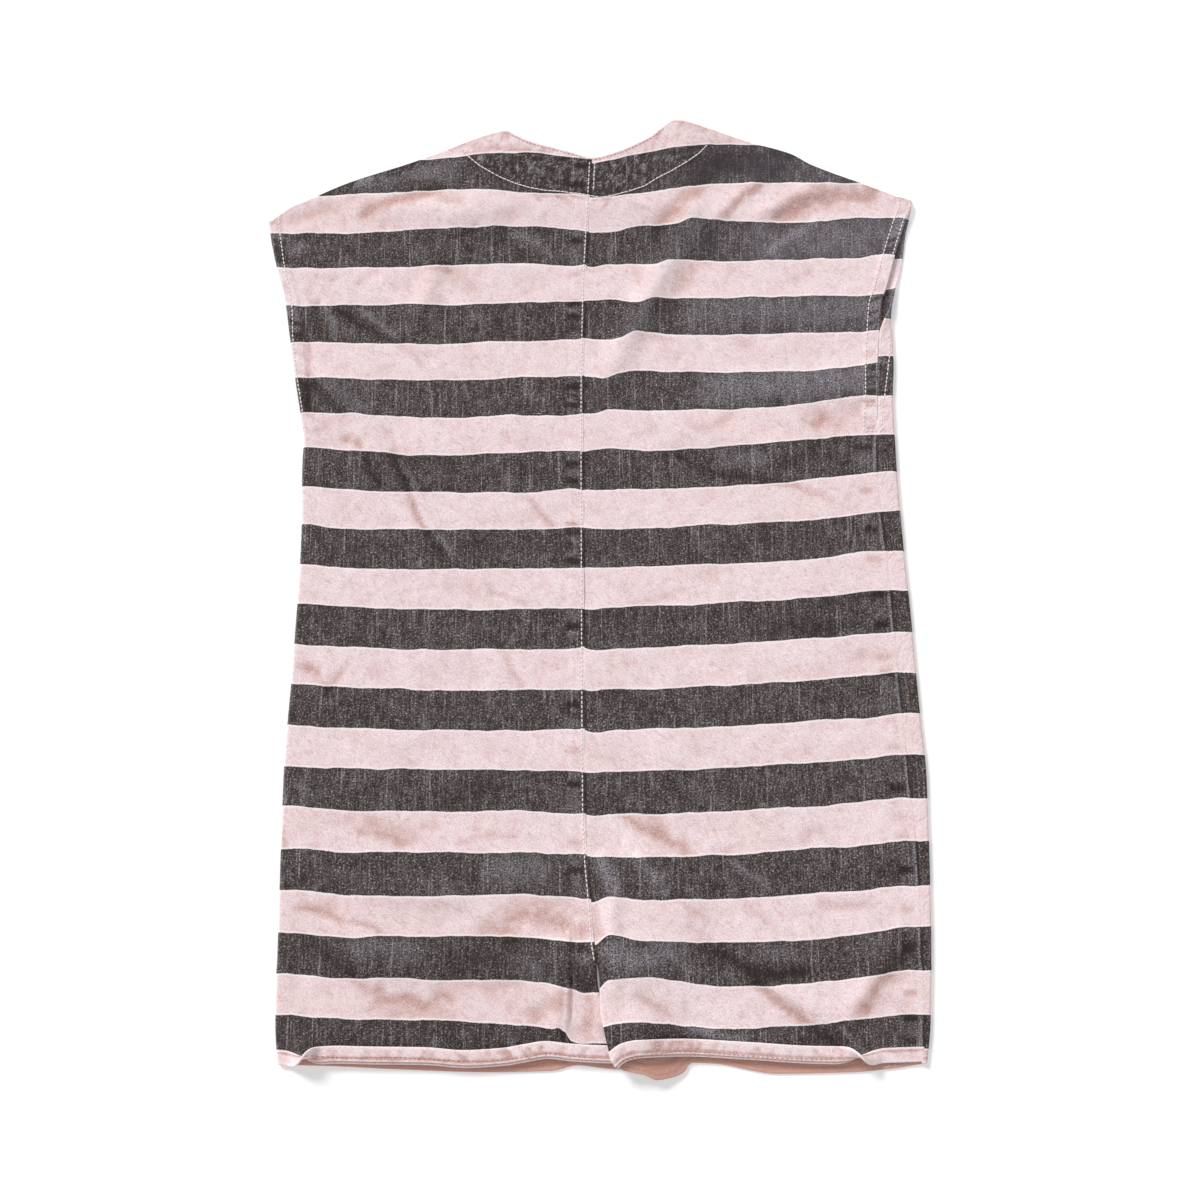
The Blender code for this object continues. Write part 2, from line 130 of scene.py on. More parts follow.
STRIPE = 25.0               # depth of one stripe
STRIPE_TOP_Y = 276.6        # upper edge of the first dark stripe
STRIPE_BLUR = 1.0


@dataclass(frozen=True)
class Profile:
    """Smooth line through the rows of a two-column table, level beyond its ends."""

    rows: tuple[tuple[float, float], ...]

    def at(self, place: np.ndarray | float) -> np.ndarray:
        """Value of the line at some places.

        Args:
            place: places in the table's first column.

        Returns:
            Values of its second column, never beyond those of the rows beside them.
        """
        places, values = np.array(self.rows, float).T
        place = np.clip(np.asarray(place, float), places[0], places[-1])
        k = np.clip(np.searchsorted(places, place, side="left") - 1, 0, len(places) - 2)
        span = np.diff(places)
        slope = np.diff(values) / span
        product = slope[:-1] * slope[1:]
        total = np.where(product > 0, slope[:-1] + slope[1:], 1.0)
        between = np.where(product > 0, 2 * product / total, 0.0)
        lean = np.concatenate([slope[:1], between, slope[-1:]])
        t = (place - places[k]) / span[k]
        return (values[k] * (1 + 2 * t) * (1 - t) ** 2 + lean[k] * span[k] * t * (1 - t) ** 2
                + values[k + 1] * t * t * (3 - 2 * t) - lean[k + 1] * span[k] * t * t * (1 - t))


# ---------------------------------------------------------------- outlines, rows of (y, x)
LEFT_EDGE = Profile((
    (-296, -180.0), (-268, -182.6), (-200, -183.5), (-130, -184.0), (-57, -181.2), (19, -179.2),
    (70, -180.4), (84, -180.0), (97, -181.7), (123, -186.4), (150, -190.8), (177, -195.2),
    (204, -202.6), (227, -207.4), (250, -210.0),
))
RIGHT_FOLD = Profile((
    (-296, 194.2), (-268, 197.8), (-200, 201.0), (-130, 201.7), (-81, 198.9), (-32, 196.5),
    (19, 193.4), (70, 191.3), (110, 190.8), (136, 192.2), (150, 192.2), (163, 191.6),
    (182, 194.3), (200, 198.8), (222, 202.3), (244, 207.2), (262, 207.6),
))
SIDE_SEAM = Profile((
    (-296, 190.6), (-283, 192.8), (-239, 194.2), (-189, 194.2), (-138, 191.6), (-88, 188.2),
    (-38, 185.8), (13, 182.3), (63, 178.8), (106, 180.0), (131, 181.0), (157, 183.0),
    (173, 184.6), (186, 188.9), (209, 195.5), (229, 202.0), (243, 206.8), (262, 207.6),
))
WRAP = Profile((
    (148, 10.0), (155, 8.0), (163, 5.2), (171, 3.0), (182, 1.2), (192, 0.2), (200, 0.0),
))
BACK_SEAM = Profile((
    (-246, 5.2), (-236, 4.1), (-227, 2.6), (-201, 0.5), (-175, -1.9), (-142, -3.1), (-20, -4.0),
    (109, -4.6), (176, -3.8), (223, -1.9), (272, 0.6), (310, 1.8),
))
RIGHT_INNER = Profile((
    (-298, 19.0), (-294.5, 15.0), (-291, 12.6), (-286, 10.9), (-275, 8.1), (-262, 5.4),
    (-246, 5.2), (-232, 3.5),
))
LEFT_INNER = Profile((
    (-296, 18.0), (-280, 15.0), (-262, 9.0), (-250, 5.0), (-242, 4.2), (-232, 3.3),
))
# ---------------------------------------------------------------- outlines, rows of (x, y)
SHOULDER_LINE = Profile((
    (-208, 229.0), (-195, 240.4), (-182, 246.6), (-157, 258.2), (-118, 271.8), (-79, 287.2),
    (-66, 291.4), (-55, 293.2), (-51, 291.0), (-40, 285.8), (-14, 278.2), (1, 274.0), (12, 276.6),
    (38, 288.6), (48, 296.6), (54, 300.6), (58, 300.8), (78, 295.6), (104, 286.6), (130, 278.6),
    (143, 271.0), (182, 255.2), (208, 244.2),
))
FRONT_NECK = Profile((
    (-55, 293.2), (-46, 272.0), (-30, 247.0), (-12, 229.0), (1, 221.0), (14, 229.0), (32, 249.0),
    (48, 279.0), (56, 301.0),
))
BACK_HEM_FOLD = Profile((
    (-182, -293.0), (-164, -293.4), (-146, -292.4), (-128, -292.8), (-95, -293.2), (-72, -294.8),
    (-50, -293.6), (-36, -291.4), (-24, -289.8), (-10, -291.2), (9, -292.2), (24, -292.6),
))
RIGHT_HEM_FOLD = Profile((
    (4, -297.0), (11, -295.4), (16, -292.4), (21, -290.2), (29, -288.8), (52, -288.4), (90, -290.2),
    (126, -292.4), (150, -292.8), (164, -292.2), (198, -291.0),
))
FRONT_HEM = Profile((
    (-184, -293.0), (-150, -293.8), (-116, -295.4), (-58, -297.2), (-23, -296.4), (-8, -293.4),
    (8, -295.2), (24, -296.4),
))
RIGHT_FRONT_HEM = Profile((
    (8, -290.0), (16, -296.4), (24, -298.2), (31, -301.2), (42, -299.6), (50, -296.4), (58, -292.0),
    (70, -292.4), (104, -298.0), (150, -297.2), (173, -295.4), (198, -291.6),
))
LEFT_FLIP = Profile(((-182, 0.0), (-177, 0.0), (-153, 1.0), (17, 1.0)))
RIGHT_FLIP = Profile(((12, 1.0), (141, 1.0), (170, 0.0), (198, 0.0)))
FACING_LOW = Profile((
    (-86, 283.4), (-72, 268.6), (-58, 260.0), (-40, 253.0), (-19, 250.2), (6, 246.2), (26, 250.8),
    (43, 260.0), (61, 270.6), (78, 286.0),
))

# Stripe edges: how far each edge stands above its even place, at these places across.
# A row for each edge from the first dark stripe's upper edge down.
DRIFT_PLACES = (
    -174.0, -142.0, -93.0, -44.0, -10.0, -4.9, 0.9, 12.0, 30.5, 80.0, 130.0, 167.0, 185.5,
)
DRIFT = (
    (-4.0, -4.0, -1.4, 1.5, -2.8, -3.5, -6.3, -4.2, 0.0, 7.8, 6.6, 5.0, 4.0),
    (-3.6, -1.8, 1.0, -1.8, -3.2, -3.4, -5.3, -4.6, -2.5, 4.6, 6.0, 6.0, 6.0),
    (-4.6, -4.0, -0.5, 0.9, -2.6, -3.3, -4.0, -3.3, 0.9, 3.7, 3.0, 5.8, 6.5),
    (-3.1, -3.1, -1.7, -0.4, -1.7, -1.0, -2.4, -0.4, -0.4, 1.2, 2.4, 3.8, 5.8),
    (-4.0, -4.0, -3.4, -2.0, -1.3, -1.3, -0.7, 0.0, -1.0, 1.0, 2.1, 2.8, 4.0),
    (-4.0, -4.0, -4.7, -2.7, -2.7, -1.4, -1.4, -1.0, 1.6, 0.9, 2.7, 3.0, 4.0),
    (-2.5, -3.8, -4.4, -2.5, -1.8, -1.1, -1.1, -1.1, 1.0, 0.9, 1.5, 4.9, 8.0),
    (-0.6, -1.9, -3.9, -2.6, -1.9, -1.3, -1.3, 0.9, 0.7, 1.3, 4.6, 9.8, 10.6),
    (1.4, -1.2, -3.8, -1.8, -0.8, -1.2, -0.5, 0.5, -0.5, 1.4, 6.0, 9.3, 10.6),
    (1.1, -1.5, -2.8, -2.8, -0.8, -1.5, -0.8, -0.8, -0.8, 1.1, 5.0, 8.9, 10.8),
    (1.7, -1.5, -1.5, -1.5, -0.9, -0.9, -0.9, -0.9, -0.9, 1.7, 4.3, 8.1, 10.7),
    (1.3, -1.2, -1.9, -1.2, -1.2, -1.2, -0.6, -0.6, 0.0, 1.9, 3.8, 8.9, 10.1),
    (1.8, -0.7, -2.0, -2.0, -1.4, -1.4, -2.0, -0.7, -0.1, 1.8, 4.9, 8.7, 9.9),
    (1.3, -0.6, -1.8, -1.8, -1.2, -0.6, -2.4, -1.8, -1.2, 1.3, 4.4, 7.5, 9.3),
    (1.7, -0.2, -2.0, -2.0, -1.4, -1.4, -2.6, -1.4, -1.4, 1.1, 4.1, 7.2, 9.0),
    (1.7, -0.1, -1.3, -1.3, -1.3, -0.7, -2.5, -1.3, -0.7, 1.1, 4.2, 6.6, 9.0),
    (2.1, 0.3, 0.3, -0.3, -0.9, -1.5, -2.1, -0.9, -0.9, 0.9, 3.9, 6.9, 8.7),
    (3.3, 0.9, 0.3, 0.3, -1.2, -0.9, -2.1, -1.5, -1.5, 0.3, 3.3, 6.2, 8.6),
    (3.5, 1.2, 0.6, 0.6, 0.0, -0.6, -1.7, -1.7, -1.7, -0.6, 2.9, 5.3, 8.2),
    (4.1, 1.2, 0.6, 1.8, 0.0, -1.1, -2.9, 0.0, -1.7, -1.1, 1.8, 4.6, 7.0),
    (4.3, 2.0, 2.6, 2.0, -0.8, -1.4, -3.7, 3.2, -0.3, -0.8, 0.9, 4.3, 7.7),
    (6.0, 3.7, 3.1, 2.0, -2.5, -4.2, -5.9, 3.7, 3.7, -1.4, 0.9, 5.4, 8.2),
    (7.8, 5.6, 4.5, 2.8, -2.5, -4.2, -2.0, 2.2, 3.9, 0.0, 2.8, 6.7, 8.4),
)
PLACES_LEFT = 6             # the first places are left of the centre seam
FRONT_SHIFT = Profile((     # front's stripes above the back's, (y, shift)
    (100, 0.0), (112, 0.0), (138, 4.0), (163, 7.8), (184, 3.6), (205, -2.0), (230, 0.0),
))
PEAK_RISE = 2.4             # the pleat draws the last dark stripe up into a peak
PEAK_X, PEAK_HALF = -18.5, 2.2
PEAK_Y = (-276.0, -268.0)   # the peak fades between these heights
PLEAT_TAKES = 4.4           # stripe depth that the pleat beside the crotch takes up
PLEAT_X = (-15.0, -10.5)
PLEAT_Y = (-272.0, -250.0)
JOG = Profile(((104, 5.0), (129, 15.3), (155, 25.3), (181, 39.0), (207, 48.6), (236, 64.0)))
JOG_RISE = 3.4              # jump of the stripes over the long fold at the right shoulder
JOG_X = (-5.0, 4.0)         # the jump lies between these distances from the fold
JOG_REACH = (14.0, 26.0)    # and fades over these on its left and right
JOG_LOW_Y = (96.0, 116.0)
JOG_HIGH_Y = (228.0, 246.0)


def smooth(x: np.ndarray | float, low: float, high: float) -> np.ndarray:
    """0 at low, 1 at high, eased between."""
    t = np.clip((np.asarray(x, float) - low) / (high - low), 0.0, 1.0)
    return t * t * (3 - 2 * t)


def hump(distance: np.ndarray, half: np.ndarray | float) -> np.ndarray:
    """1 on a line and fading to 0 over half on both sides, by distance from it."""
    return np.exp(-(distance / half) ** 2)


def bend(distance: np.ndarray, start: np.ndarray, arc: float,
         angle: np.ndarray) -> tuple[np.ndarray, np.ndarray]:
    """Follow cloth straight to start, round an arc of cloth that turns by angle, and straight on.

    Args:
        distance: cloth followed.
        start: cloth before the arc.
        arc: cloth in the arc.
        angle: turn of the whole arc.

    Returns:
        How far forward and how far up each point is.
    """
    angle = np.maximum(angle, 1e-6)
    curve = angle / arc
    turned = np.clip(distance - start, 0.0, arc) * curve
    rest = np.maximum(distance - start - arc, 0.0)
    forward = np.minimum(distance, start) + np.sin(turned) / curve + rest * np.cos(angle)
    return forward, (1 - np.cos(turned)) / curve + rest * np.sin(angle)


def lines_between(marks: tuple[float, ...], pitch: float) -> list[float]:
    """Even lines between marks, no further apart than pitch.

    Args:
        marks: distances that keep a line of their own.
        pitch: largest step between lines.

    Returns:
        The marks with the lines between them, in order.
    """
    found = [marks[0]]
    for low, high in zip(marks, marks[1:]):
        steps = max(1, math.ceil((high - low) / pitch - 1e-6))
        found += [low + (high - low) * (k + 1) / steps for k in range(steps)]
    return found


def jog(x: np.ndarray, y: np.ndarray) -> np.ndarray:
    """Jump of the stripes over the long fold at the right shoulder.

    Args:
        x: places across.
        y: heights.

    Returns:
        Below 0 left of the fold and above 0 right of it, fading on both sides.
    """
    off = x - JOG.at(y)
    step = smooth(off, *JOG_X) - 0.5
    reach = np.where(off < 0, *JOG_REACH)
    height = smooth(y, *JOG_LOW_Y) * (1 - smooth(y, *JOG_HIGH_Y))
    return JOG_RISE * step * hump(off, reach) * height


def stripe_place(x: np.ndarray, y: np.ndarray, side: int, is_front: bool = False) -> np.ndarray:
    """Cloth below the first stripe's upper edge, where the stripes run as the cloth lies.

    Args:
        x: places across.
        y: heights.
        side: -1 for the left half, 1 for the right one.
        is_front: whether it is a front, whose stripes meet the back's a little off.

    Returns:
        Cloth distance, with a stripe edge at each multiple of STRIPE.
    """
    if is_front:
        y = y - FRONT_SHIFT.at(y)
    elif side < 0:
        y = y + PLEAT_TAKES * smooth(x, *PLEAT_X) * (1 - smooth(y, *PLEAT_Y))
        y = y - PEAK_RISE * hump(x - PEAK_X, PEAK_HALF) * (1 - smooth(y, *PEAK_Y))
    else:
        y = y - jog(x, y)
    keep = slice(0, PLACES_LEFT) if side < 0 else slice(PLACES_LEFT - 1, None)
    places = DRIFT_PLACES[keep]
    edges = []
    for row, drift in enumerate(DRIFT):
        line = Profile(tuple(zip(places, drift[keep])))
        edges.append(STRIPE_TOP_Y - STRIPE * row + line.at(x))
    below = np.maximum(edges[-1] - y, 0.0) / STRIPE - np.maximum(y - edges[0], 0.0) / STRIPE
    for upper, lower in zip(edges, edges[1:]):
        below = below + np.clip((upper - y) / (upper - lower), 0.0, 1.0)
    return below * STRIPE


def in_dark_stripe(v: np.ndarray) -> np.ndarray:
    """1 in the dark stripes and 0 in the pink ones, by cloth distance."""
    from_middle = np.abs((v + STRIPE / 2) % (2 * STRIPE) - STRIPE)
    return 1 - smooth(from_middle, STRIPE / 2 - STRIPE_BLUR, STRIPE / 2 + STRIPE_BLUR)


CREASE_FALL = 2.2           # how steeply a crease falls away at its half width
FAR = 1e9


@dataclass(frozen=True)
class Crease:
    """Soft ridge or trough along a short path, fading at its ends."""

    path: tuple[tuple[float, float], ...]
    height: float           # below 0 for a trough
    width: float            # half width on the right of the path
    other_width: float = 0.0    # half width on its left; as width if 0
    fade: float = 0.3       # share of the path over which each end fades

    def at(self, x: np.ndarray, y: np.ndarray) -> np.ndarray:
        """Height of the crease at some places.

        Args:
            x: places across.
            y: heights.

        Returns:
            Rise of the cloth there.
        """
        best = np.full(np.shape(x), FAR)
        off = np.zeros(np.shape(x))
        along = np.zeros(np.shape(x))
        run = 0.0
        for (x0, y0), (x1, y1) in zip(self.path, self.path[1:]):
            long = math.hypot(x1 - x0, y1 - y0)
            dx, dy = (x1 - x0) / long, (y1 - y0) / long
            t = (x - x0) * dx + (y - y0) * dy
            held = np.clip(t, 0.0, long)
            gap = np.hypot(x - x0 - held * dx, y - y0 - held * dy)
            near = gap < best
            best = np.where(near, gap, best)
            off = np.where(near, (x - x0) * dy - (y - y0) * dx, off)
            along = np.where(near, run + t, along)
            run += long
        left = self.other_width or self.width
        half = left + (self.width - left) * smooth(off, -self.width / 2, self.width / 2)
        fade = smooth(along, -self.width, run * self.fade)
        fade = fade * (1 - smooth(along, run * (1 - self.fade), run + self.width))
        return self.height * fade * np.exp(-CREASE_FALL * (best / half) ** 2)


# Largest folds, which the solids have too: (x0, y0, x1, y1, height, half width)
FOLDS = tuple(Crease(((x0, y0), (x1, y1)), height, width) for x0, y0, x1, y1, height, width in (
    (78.0, 262.0, 6.0, 118.0, 3.0, 13.0),
    (118.0, 268.0, 74.0, 226.0, 2.6, 9.0),
    (160.0, 258.0, 96.0, 230.0, 2.0, 9.0),
    (-60.0, 236.0, -160.0, 240.0, 2.0, 14.0),
    (-150.0, 196.0, -104.0, 160.0, 1.6, 8.0),
    (-92.0, 216.0, -116.0, 150.0, 1.6, 10.0),
    (-176.0, 128.0, -96.0, 30.0, 2.4, 11.0),
    (-60.0, 110.0, -22.0, 52.0, 1.8, 9.0),
    (52.0, 98.0, 150.0, 66.0, 1.6, 12.0),
    (150.0, 128.0, 176.0, 104.0, 2.0, 10.0),
    (20.0, -168.0, 66.0, -216.0, 2.4, 11.0),
    (-140.0, -196.0, -70.0, -200.0, 1.6, 9.0),
    (-160.0, -234.0, -84.0, -244.0, 2.0, 11.0),
    (-70.0, -238.0, -20.0, -232.0, 2.4, 14.0),
    (-17.0, -222.0, -18.0, -272.0, 2.8, 8.0),
    (86.0, -236.0, 152.0, -276.0, 2.2, 10.0),
    (186.0, -216.0, 150.0, -268.0, 2.2, 11.0),
    (13.0, -190.0, 14.0, -262.0, 1.6, 8.0),
))

# Creases as the cloth shows them, each a trough darkened with painted shade (below 0) or a ridge
# paled with painted highlight and some rubbing: tone in its middle, half width, then its path
MARK_SPREAD, MARK_FADE = 1.25, 0.1
MARKS = tuple(Crease(tuple(path), tone, width * MARK_SPREAD, fade=MARK_FADE)
              for tone, width, *path in (
    # right shoulder and side, from the neck down
    (-0.85, 7.5, (76, 260), (62, 246), (50, 232), (40, 218)),
    (0.35, 7.0, (92, 258), (66, 226), (48, 195), (35, 170), (22, 145), (11, 116)),
    (-0.75, 4.5, (112, 258), (97, 247), (85, 233)),
    (-0.5, 7.0, (80, 226), (70, 204), (56, 186), (48, 166)),
    (0.3, 4.5, (121, 257), (106, 244), (92, 232)),
    (-0.9, 9.0, (186, 248), (160, 248), (140, 242), (118, 230)),
    (-0.45, 6.0, (150, 256), (132, 243), (120, 232)),
    (-0.95, 13.0, (66, 268), (92, 272), (124, 267)),
    (0.6, 3.5, (114, 208), (126, 218), (146, 231)),
    (0.35, 16.0, (110, 218), (186, 220)),
    (0.4, 13.0, (66, 168), (184, 170)),
    (0.65, 13.0, (70, 116), (120, 120), (184, 124)),
    (-0.3, 3.0, (58, 204), (84, 203)),
    (-0.3, 5.0, (124, 190), (142, 194)),
    (-0.25, 3.0, (146, 185), (156, 184)),
    (-0.4, 5.0, (34, 152), (47, 151)),
    (-0.2, 6.0, (86, 148), (102, 149)),
    (-0.4, 4.0, (66, 89), (76, 92), (90, 99)),
    (-0.55, 5.0, (138, 91), (149, 97), (158, 89)),
    (-0.9, 1.3, (171, 109), (179, 108.5)),
    (-0.6, 1.4, (179, 108), (181, 104)),
    (-0.85, 1.6, (171, 93.5), (175, 91.5), (178, 91.5)),
    (0.5, 3.0, (173, 101), (178, 101)),
    (-0.35, 8.0, (134, 97), (168, 104)),
    (-0.65, 3.0, (50, 80), (62, 66), (80, 61), (102, 58), (124, 54), (140, 48), (152, 43)),
    (0.35, 7.0, (82, 72), (112, 68)),
    (-0.4, 6.0, (118, 62), (130, 72), (146, 82)),
    (0.4, 4.0, (165, 70), (178, 70)),
    (-0.25, 5.0, (30, 84), (40, 92)),
    # below the facing
    (-0.8, 1.2, (-36, 248), (-34, 244)),
    (-0.7, 1.4, (-22, 247), (-13, 242)),
    (-0.5, 1.6, (24, 243), (37, 238)),
    (-0.5, 1.3, (13, 246), (8, 238)),
    # left shoulder and side
    (-1.0, 5.5, (-96, 254), (-116, 248), (-134, 242), (-150, 234)),
    (-0.45, 5.0, (-146, 250), (-162, 243), (-182, 236), (-194, 231)),
    (-0.5, 4.0, (-98, 246), (-84, 244)),
    (-0.75, 2.2, (-88, 284), (-66, 281.5), (-48, 280), (-24, 277)),
    (0.5, 9.0, (-156, 257), (-122, 262), (-88, 268)),
    (-0.6, 1.8, (-40, 248.5), (-14, 248)),
    (-0.5, 3.5, (-90, 219), (-73, 227)),
    (-0.45, 4.5, (-60, 218), (-54, 213)),
    (-0.45, 4.5, (-50, 211), (-42, 206)),
    (0.35, 5.0, (-48, 222), (-30, 210)),
    (0.5, 5.0, (-196, 208), (-184, 212)),
    (-0.7, 2.8, (-106, 199), (-96, 198), (-88, 194)),
    (-0.35, 9.0, (-90, 200), (-76, 184)),
    (-0.3, 3.0, (-162, 191), (-176, 192), (-182, 180)),
    (-0.25, 4.0, (-138, 198), (-152, 185)),
    (-0.55, 4.5, (-175, 175), (-172, 150)),
    (0.6, 2.2, (-172, 175), (-165, 162), (-164, 150)),
    (-0.8, 2.8, (-164, 171), (-150, 161), (-131, 152)),
    (0.85, 2.2, (-149, 171), (-136, 161), (-123, 151)),
    (-0.45, 3.5, (-30, 172), (-22, 152)),
    (-0.5, 3.0, (-60, 164), (-55, 152)),
    (-0.5, 1.5, (-179, 150), (-178.5, 125)),
    (-0.4, 2.2, (-122, 147), (-112, 138), (-105, 129)),
    (-0.3, 3.5, (-80, 147), (-71, 137)),
    (0.4, 8.0, (-168, 118), (-142, 104)),
    (-0.75, 3.5, (-179, 125), (-168, 112), (-154, 98)),
    (-0.8, 1.6, (-178, 120), (-177.5, 103)),
    (-0.4, 4.0, (-180, 88), (-166, 91)),
    (-0.85, 2.8, (-156, 85), (-147, 82), (-142, 74), (-137, 62), (-130, 51)),
    (-0.35, 2.2, (-132, 95), (-122, 78)),
    (-0.9, 2.8, (-124, 78), (-118, 60), (-111, 42), (-104, 27), (-95, 13), (-86, 2)),
    (0.45, 2.2, (-118, 72), (-112, 56), (-100, 30), (-89, 14), (-82, 3)),
    (-0.3, 2.5, (-60, 99), (-51, 85)),
    (-0.4, 4.5, (-47, 72), (-40, 60)),
    (-0.65, 2.8, (-38, 45), (-30, 34), (-22, 27)),
    (-0.35, 6.0, (-74, 16), (-60, 10)),
    # knot of creases in the left leg's rolled hem
    (0.9, 1.5, (-47, -283.5), (-41, -288), (-33, -293.5)),
    (-1.0, 1.5, (-43, -283.5), (-38, -287), (-34.5, -290)),
    (0.9, 1.3, (-38, -283.5), (-34, -287), (-31, -291)),
    (-0.9, 1.3, (-34.5, -284), (-31, -287)),
    (-0.7, 1.6, (-52, -286), (-45, -289)),
    (-0.9, 1.2, (-17, -273.5), (-15.5, -278), (-14.5, -282)),
    # left hip and leg
    (-0.45, 2.5, (-62, -13), (-50, -18), (-38, -22)),
    (-0.3, 3.0, (-76, -8), (-68, -16)),
    (-0.6, 2.8, (-174, -59), (-166, -64), (-159, -74)),
    (-0.6, 3.0, (-160, -78), (-154, -68), (-147, -59)),
    (-0.4, 3.5, (-180, -60), (-170, -63)),
    (-0.4, 3.0, (-60, -42), (-50, -56), (-40, -75)),
    (0.3, 4.5, (-50, -48), (-36, -72)),
    (-0.25, 1.8, (-113, -50), (-100, -70)),
    (-0.5, 3.5, (-180, -91), (-166, -94)),
    (-0.4, 8.0, (-92, -143), (-54, -136)),
    (0.35, 3.5, (-170, -122), (-171, -146)),
    (-0.5, 3.0, (-140, -160), (-124, -162), (-108, -168)),
    (-0.4, 8.0, (-132, -157), (-104, -164)),
    (-0.45, 2.2, (-80, -167), (-60, -163), (-42, -162)),
    (-0.4, 2.2, (-101, -158), (-88, -158)),
    (-0.2, 7.0, (-160, -156), (-130, -152)),
    (-0.7, 3.5, (-184, -158), (-181, -172)),
    (0.5, 10.0, (-60, -184), (-28, -183)),
    (-0.8, 2.4, (-176, -204), (-160, -206), (-147, -212), (-134, -213), (-120, -220)),
    (-0.4, 5.0, (-170, -201), (-150, -206)),
    (-0.75, 6.5, (-66, -220), (-48, -214), (-36, -209), (-20, -213), (0, -219)),
    (-0.4, 7.0, (-46, -202), (-6, -206)),
    (-0.6, 4.0, (-168, -221), (-152, -232), (-138, -244)),
    (0.4, 7.0, (-142, -227), (-98, -229)),
    (-0.5, 8.0, (-80, -239), (-60, -232), (-42, -224)),
    (0.35, 6.0, (-46, -238), (-30, -240)),
    (-0.6, 2.8, (-138, -245), (-128, -253), (-119, -251)),
    (-0.8, 3.6, (-124, -257), (-108, -256), (-96, -260), (-87, -254), (-78, -257)),
    (-0.5, 7.5, (-128, -261), (-100, -263), (-78, -268)),
    (-0.4, 6.0, (-84, -248), (-58, -251), (-40, -246)),
    (-0.7, 6.5, (-33, -268), (-24, -261), (-16, -258)),
    (-0.6, 5.0, (-1, -248), (1, -262), (-2, -277)),
    # right hip and leg
    (-0.25, 8.0, (60, 10), (76, -6)),
    (-0.35, 2.8, (26, -22), (46, -18), (56, -12)),
    (-0.35, 4.0, (2, -30), (22, -29)),
    (-0.65, 7.0, (112, -37), (150, -38)),
    (-0.55, 3.5, (138, -23), (186, -15)),
    (-0.25, 7.0, (160, -56), (184, -54)),
    (-0.9, 4.0, (16, -149), (32, -158), (44, -164), (60, -173)),
    (-0.5, 5.0, (34, -149), (46, -160)),
    (0.35, 1.6, (10, -151), (25, -171)),
    (-0.35, 2.5, (94, -147), (103, -157), (113, -149)),
    (-0.3, 5.0, (124, -164), (138, -160)),
    (-0.35, 3.5, (80, -172), (90, -168)),
    (0.8, 5.5, (6, -174), (14, -196)),
    (0.6, 4.5, (28, -174), (44, -197)),
    (0.6, 2.0, (82, -177), (96, -186), (107, -195)),
    (-0.5, 3.0, (49, -195), (56, -204), (70, -211)),
    (-0.25, 4.0, (92, -204), (106, -212)),
    (-0.55, 4.0, (134, -204), (150, -203), (166, -204)),
    (-0.5, 4.0, (2, -204), (5, -221)),
    (0.6, 9.0, (8, -228), (26, -236), (52, -229)),
    (-0.85, 4.0, (62, -224), (78, -232), (92, -240), (112, -244), (128, -242)),
    (-0.5, 4.5, (94, -242), (128, -241)),
    (0.35, 5.0, (98, -229), (116, -231)),
    (-0.8, 6.5, (194, -226), (178, -237), (167, -250), (157, -268)),
    (-1.0, 3.8, (94, -244), (106, -256), (118, -264), (130, -274), (147, -286)),
    (-0.6, 2.8, (26, -253), (37, -260), (47, -266)),
    (-0.25, 1.6, (54, -254), (55, -268)),
    (-0.8, 5.5, (36, -280), (62, -283)),
    (0.8, 3.5, (58, -273), (74, -277), (92, -281)),
    (0.5, 1.8, (146, -272), (157, -285)),
    (-0.5, 2.0, (151, -271), (162, -285)),
    # on the turned hems
    (-0.9, 1.4, (-53, -282), (-46, -287)),
    (0.7, 1.6, (-47, -281), (-39, -288)),
    (0.6, 1.8, (-36, -281), (-30, -288)),
    (-0.8, 1.5, (-28, -282), (-25, -290)),
    (-0.7, 1.3, (-78, -285), (-70, -292)),
    (-0.8, 1.3, (-60, -284), (-54, -292)),
    (-0.6, 1.2, (-48, -283), (-46, -290)),
    (-0.9, 1.6, (-42, -281), (-34, -286), (-30, -291)),
    (-0.5, 1.5, (-118, -286), (-112, -293)),
    (-0.5, 1.4, (-92, -287), (-86, -292)),
    (-0.5, 2.0, (-150, -284), (-146, -291)),
    (-0.6, 1.4, (24, -284), (20, -290)),
    (-0.5, 1.5, (66, -283), (70, -289)),
    (-0.5, 1.6, (96, -284), (102, -290)),
    (-0.7, 1.8, (128, -285), (136, -290)),
))
MARK_RISE = 0.15            # rise for each millimetre of a crease's half width
WIDEST_RISE = 7.0           # wider marks rise no further
DEEPEST = -1.3              # deepest trough that clears the layer below

# Folded cloth beside the crotch: (path), height, half width on the right and on the left
PLEAT = (
    Crease(((-13.5, -212), (-13.0, -250), (-13.6, -266), (-16, -280)), 1.7, 1.6, 5.0),
    Crease(((-10.6, -218), (-10.6, -250), (-10.8, -266), (-12.5, -277)), -1.5, 2.0, 1.3),
)

TUCK_RISE = 0.3
FOLD_EDGE_FADE = 14.0       # folds fade out over this much at the outline
CREASE_EDGE_FADE = 5.0
FOLD_SEAM_SHARE = 8.0
FOLD_HEM_CLEAR = 4.0


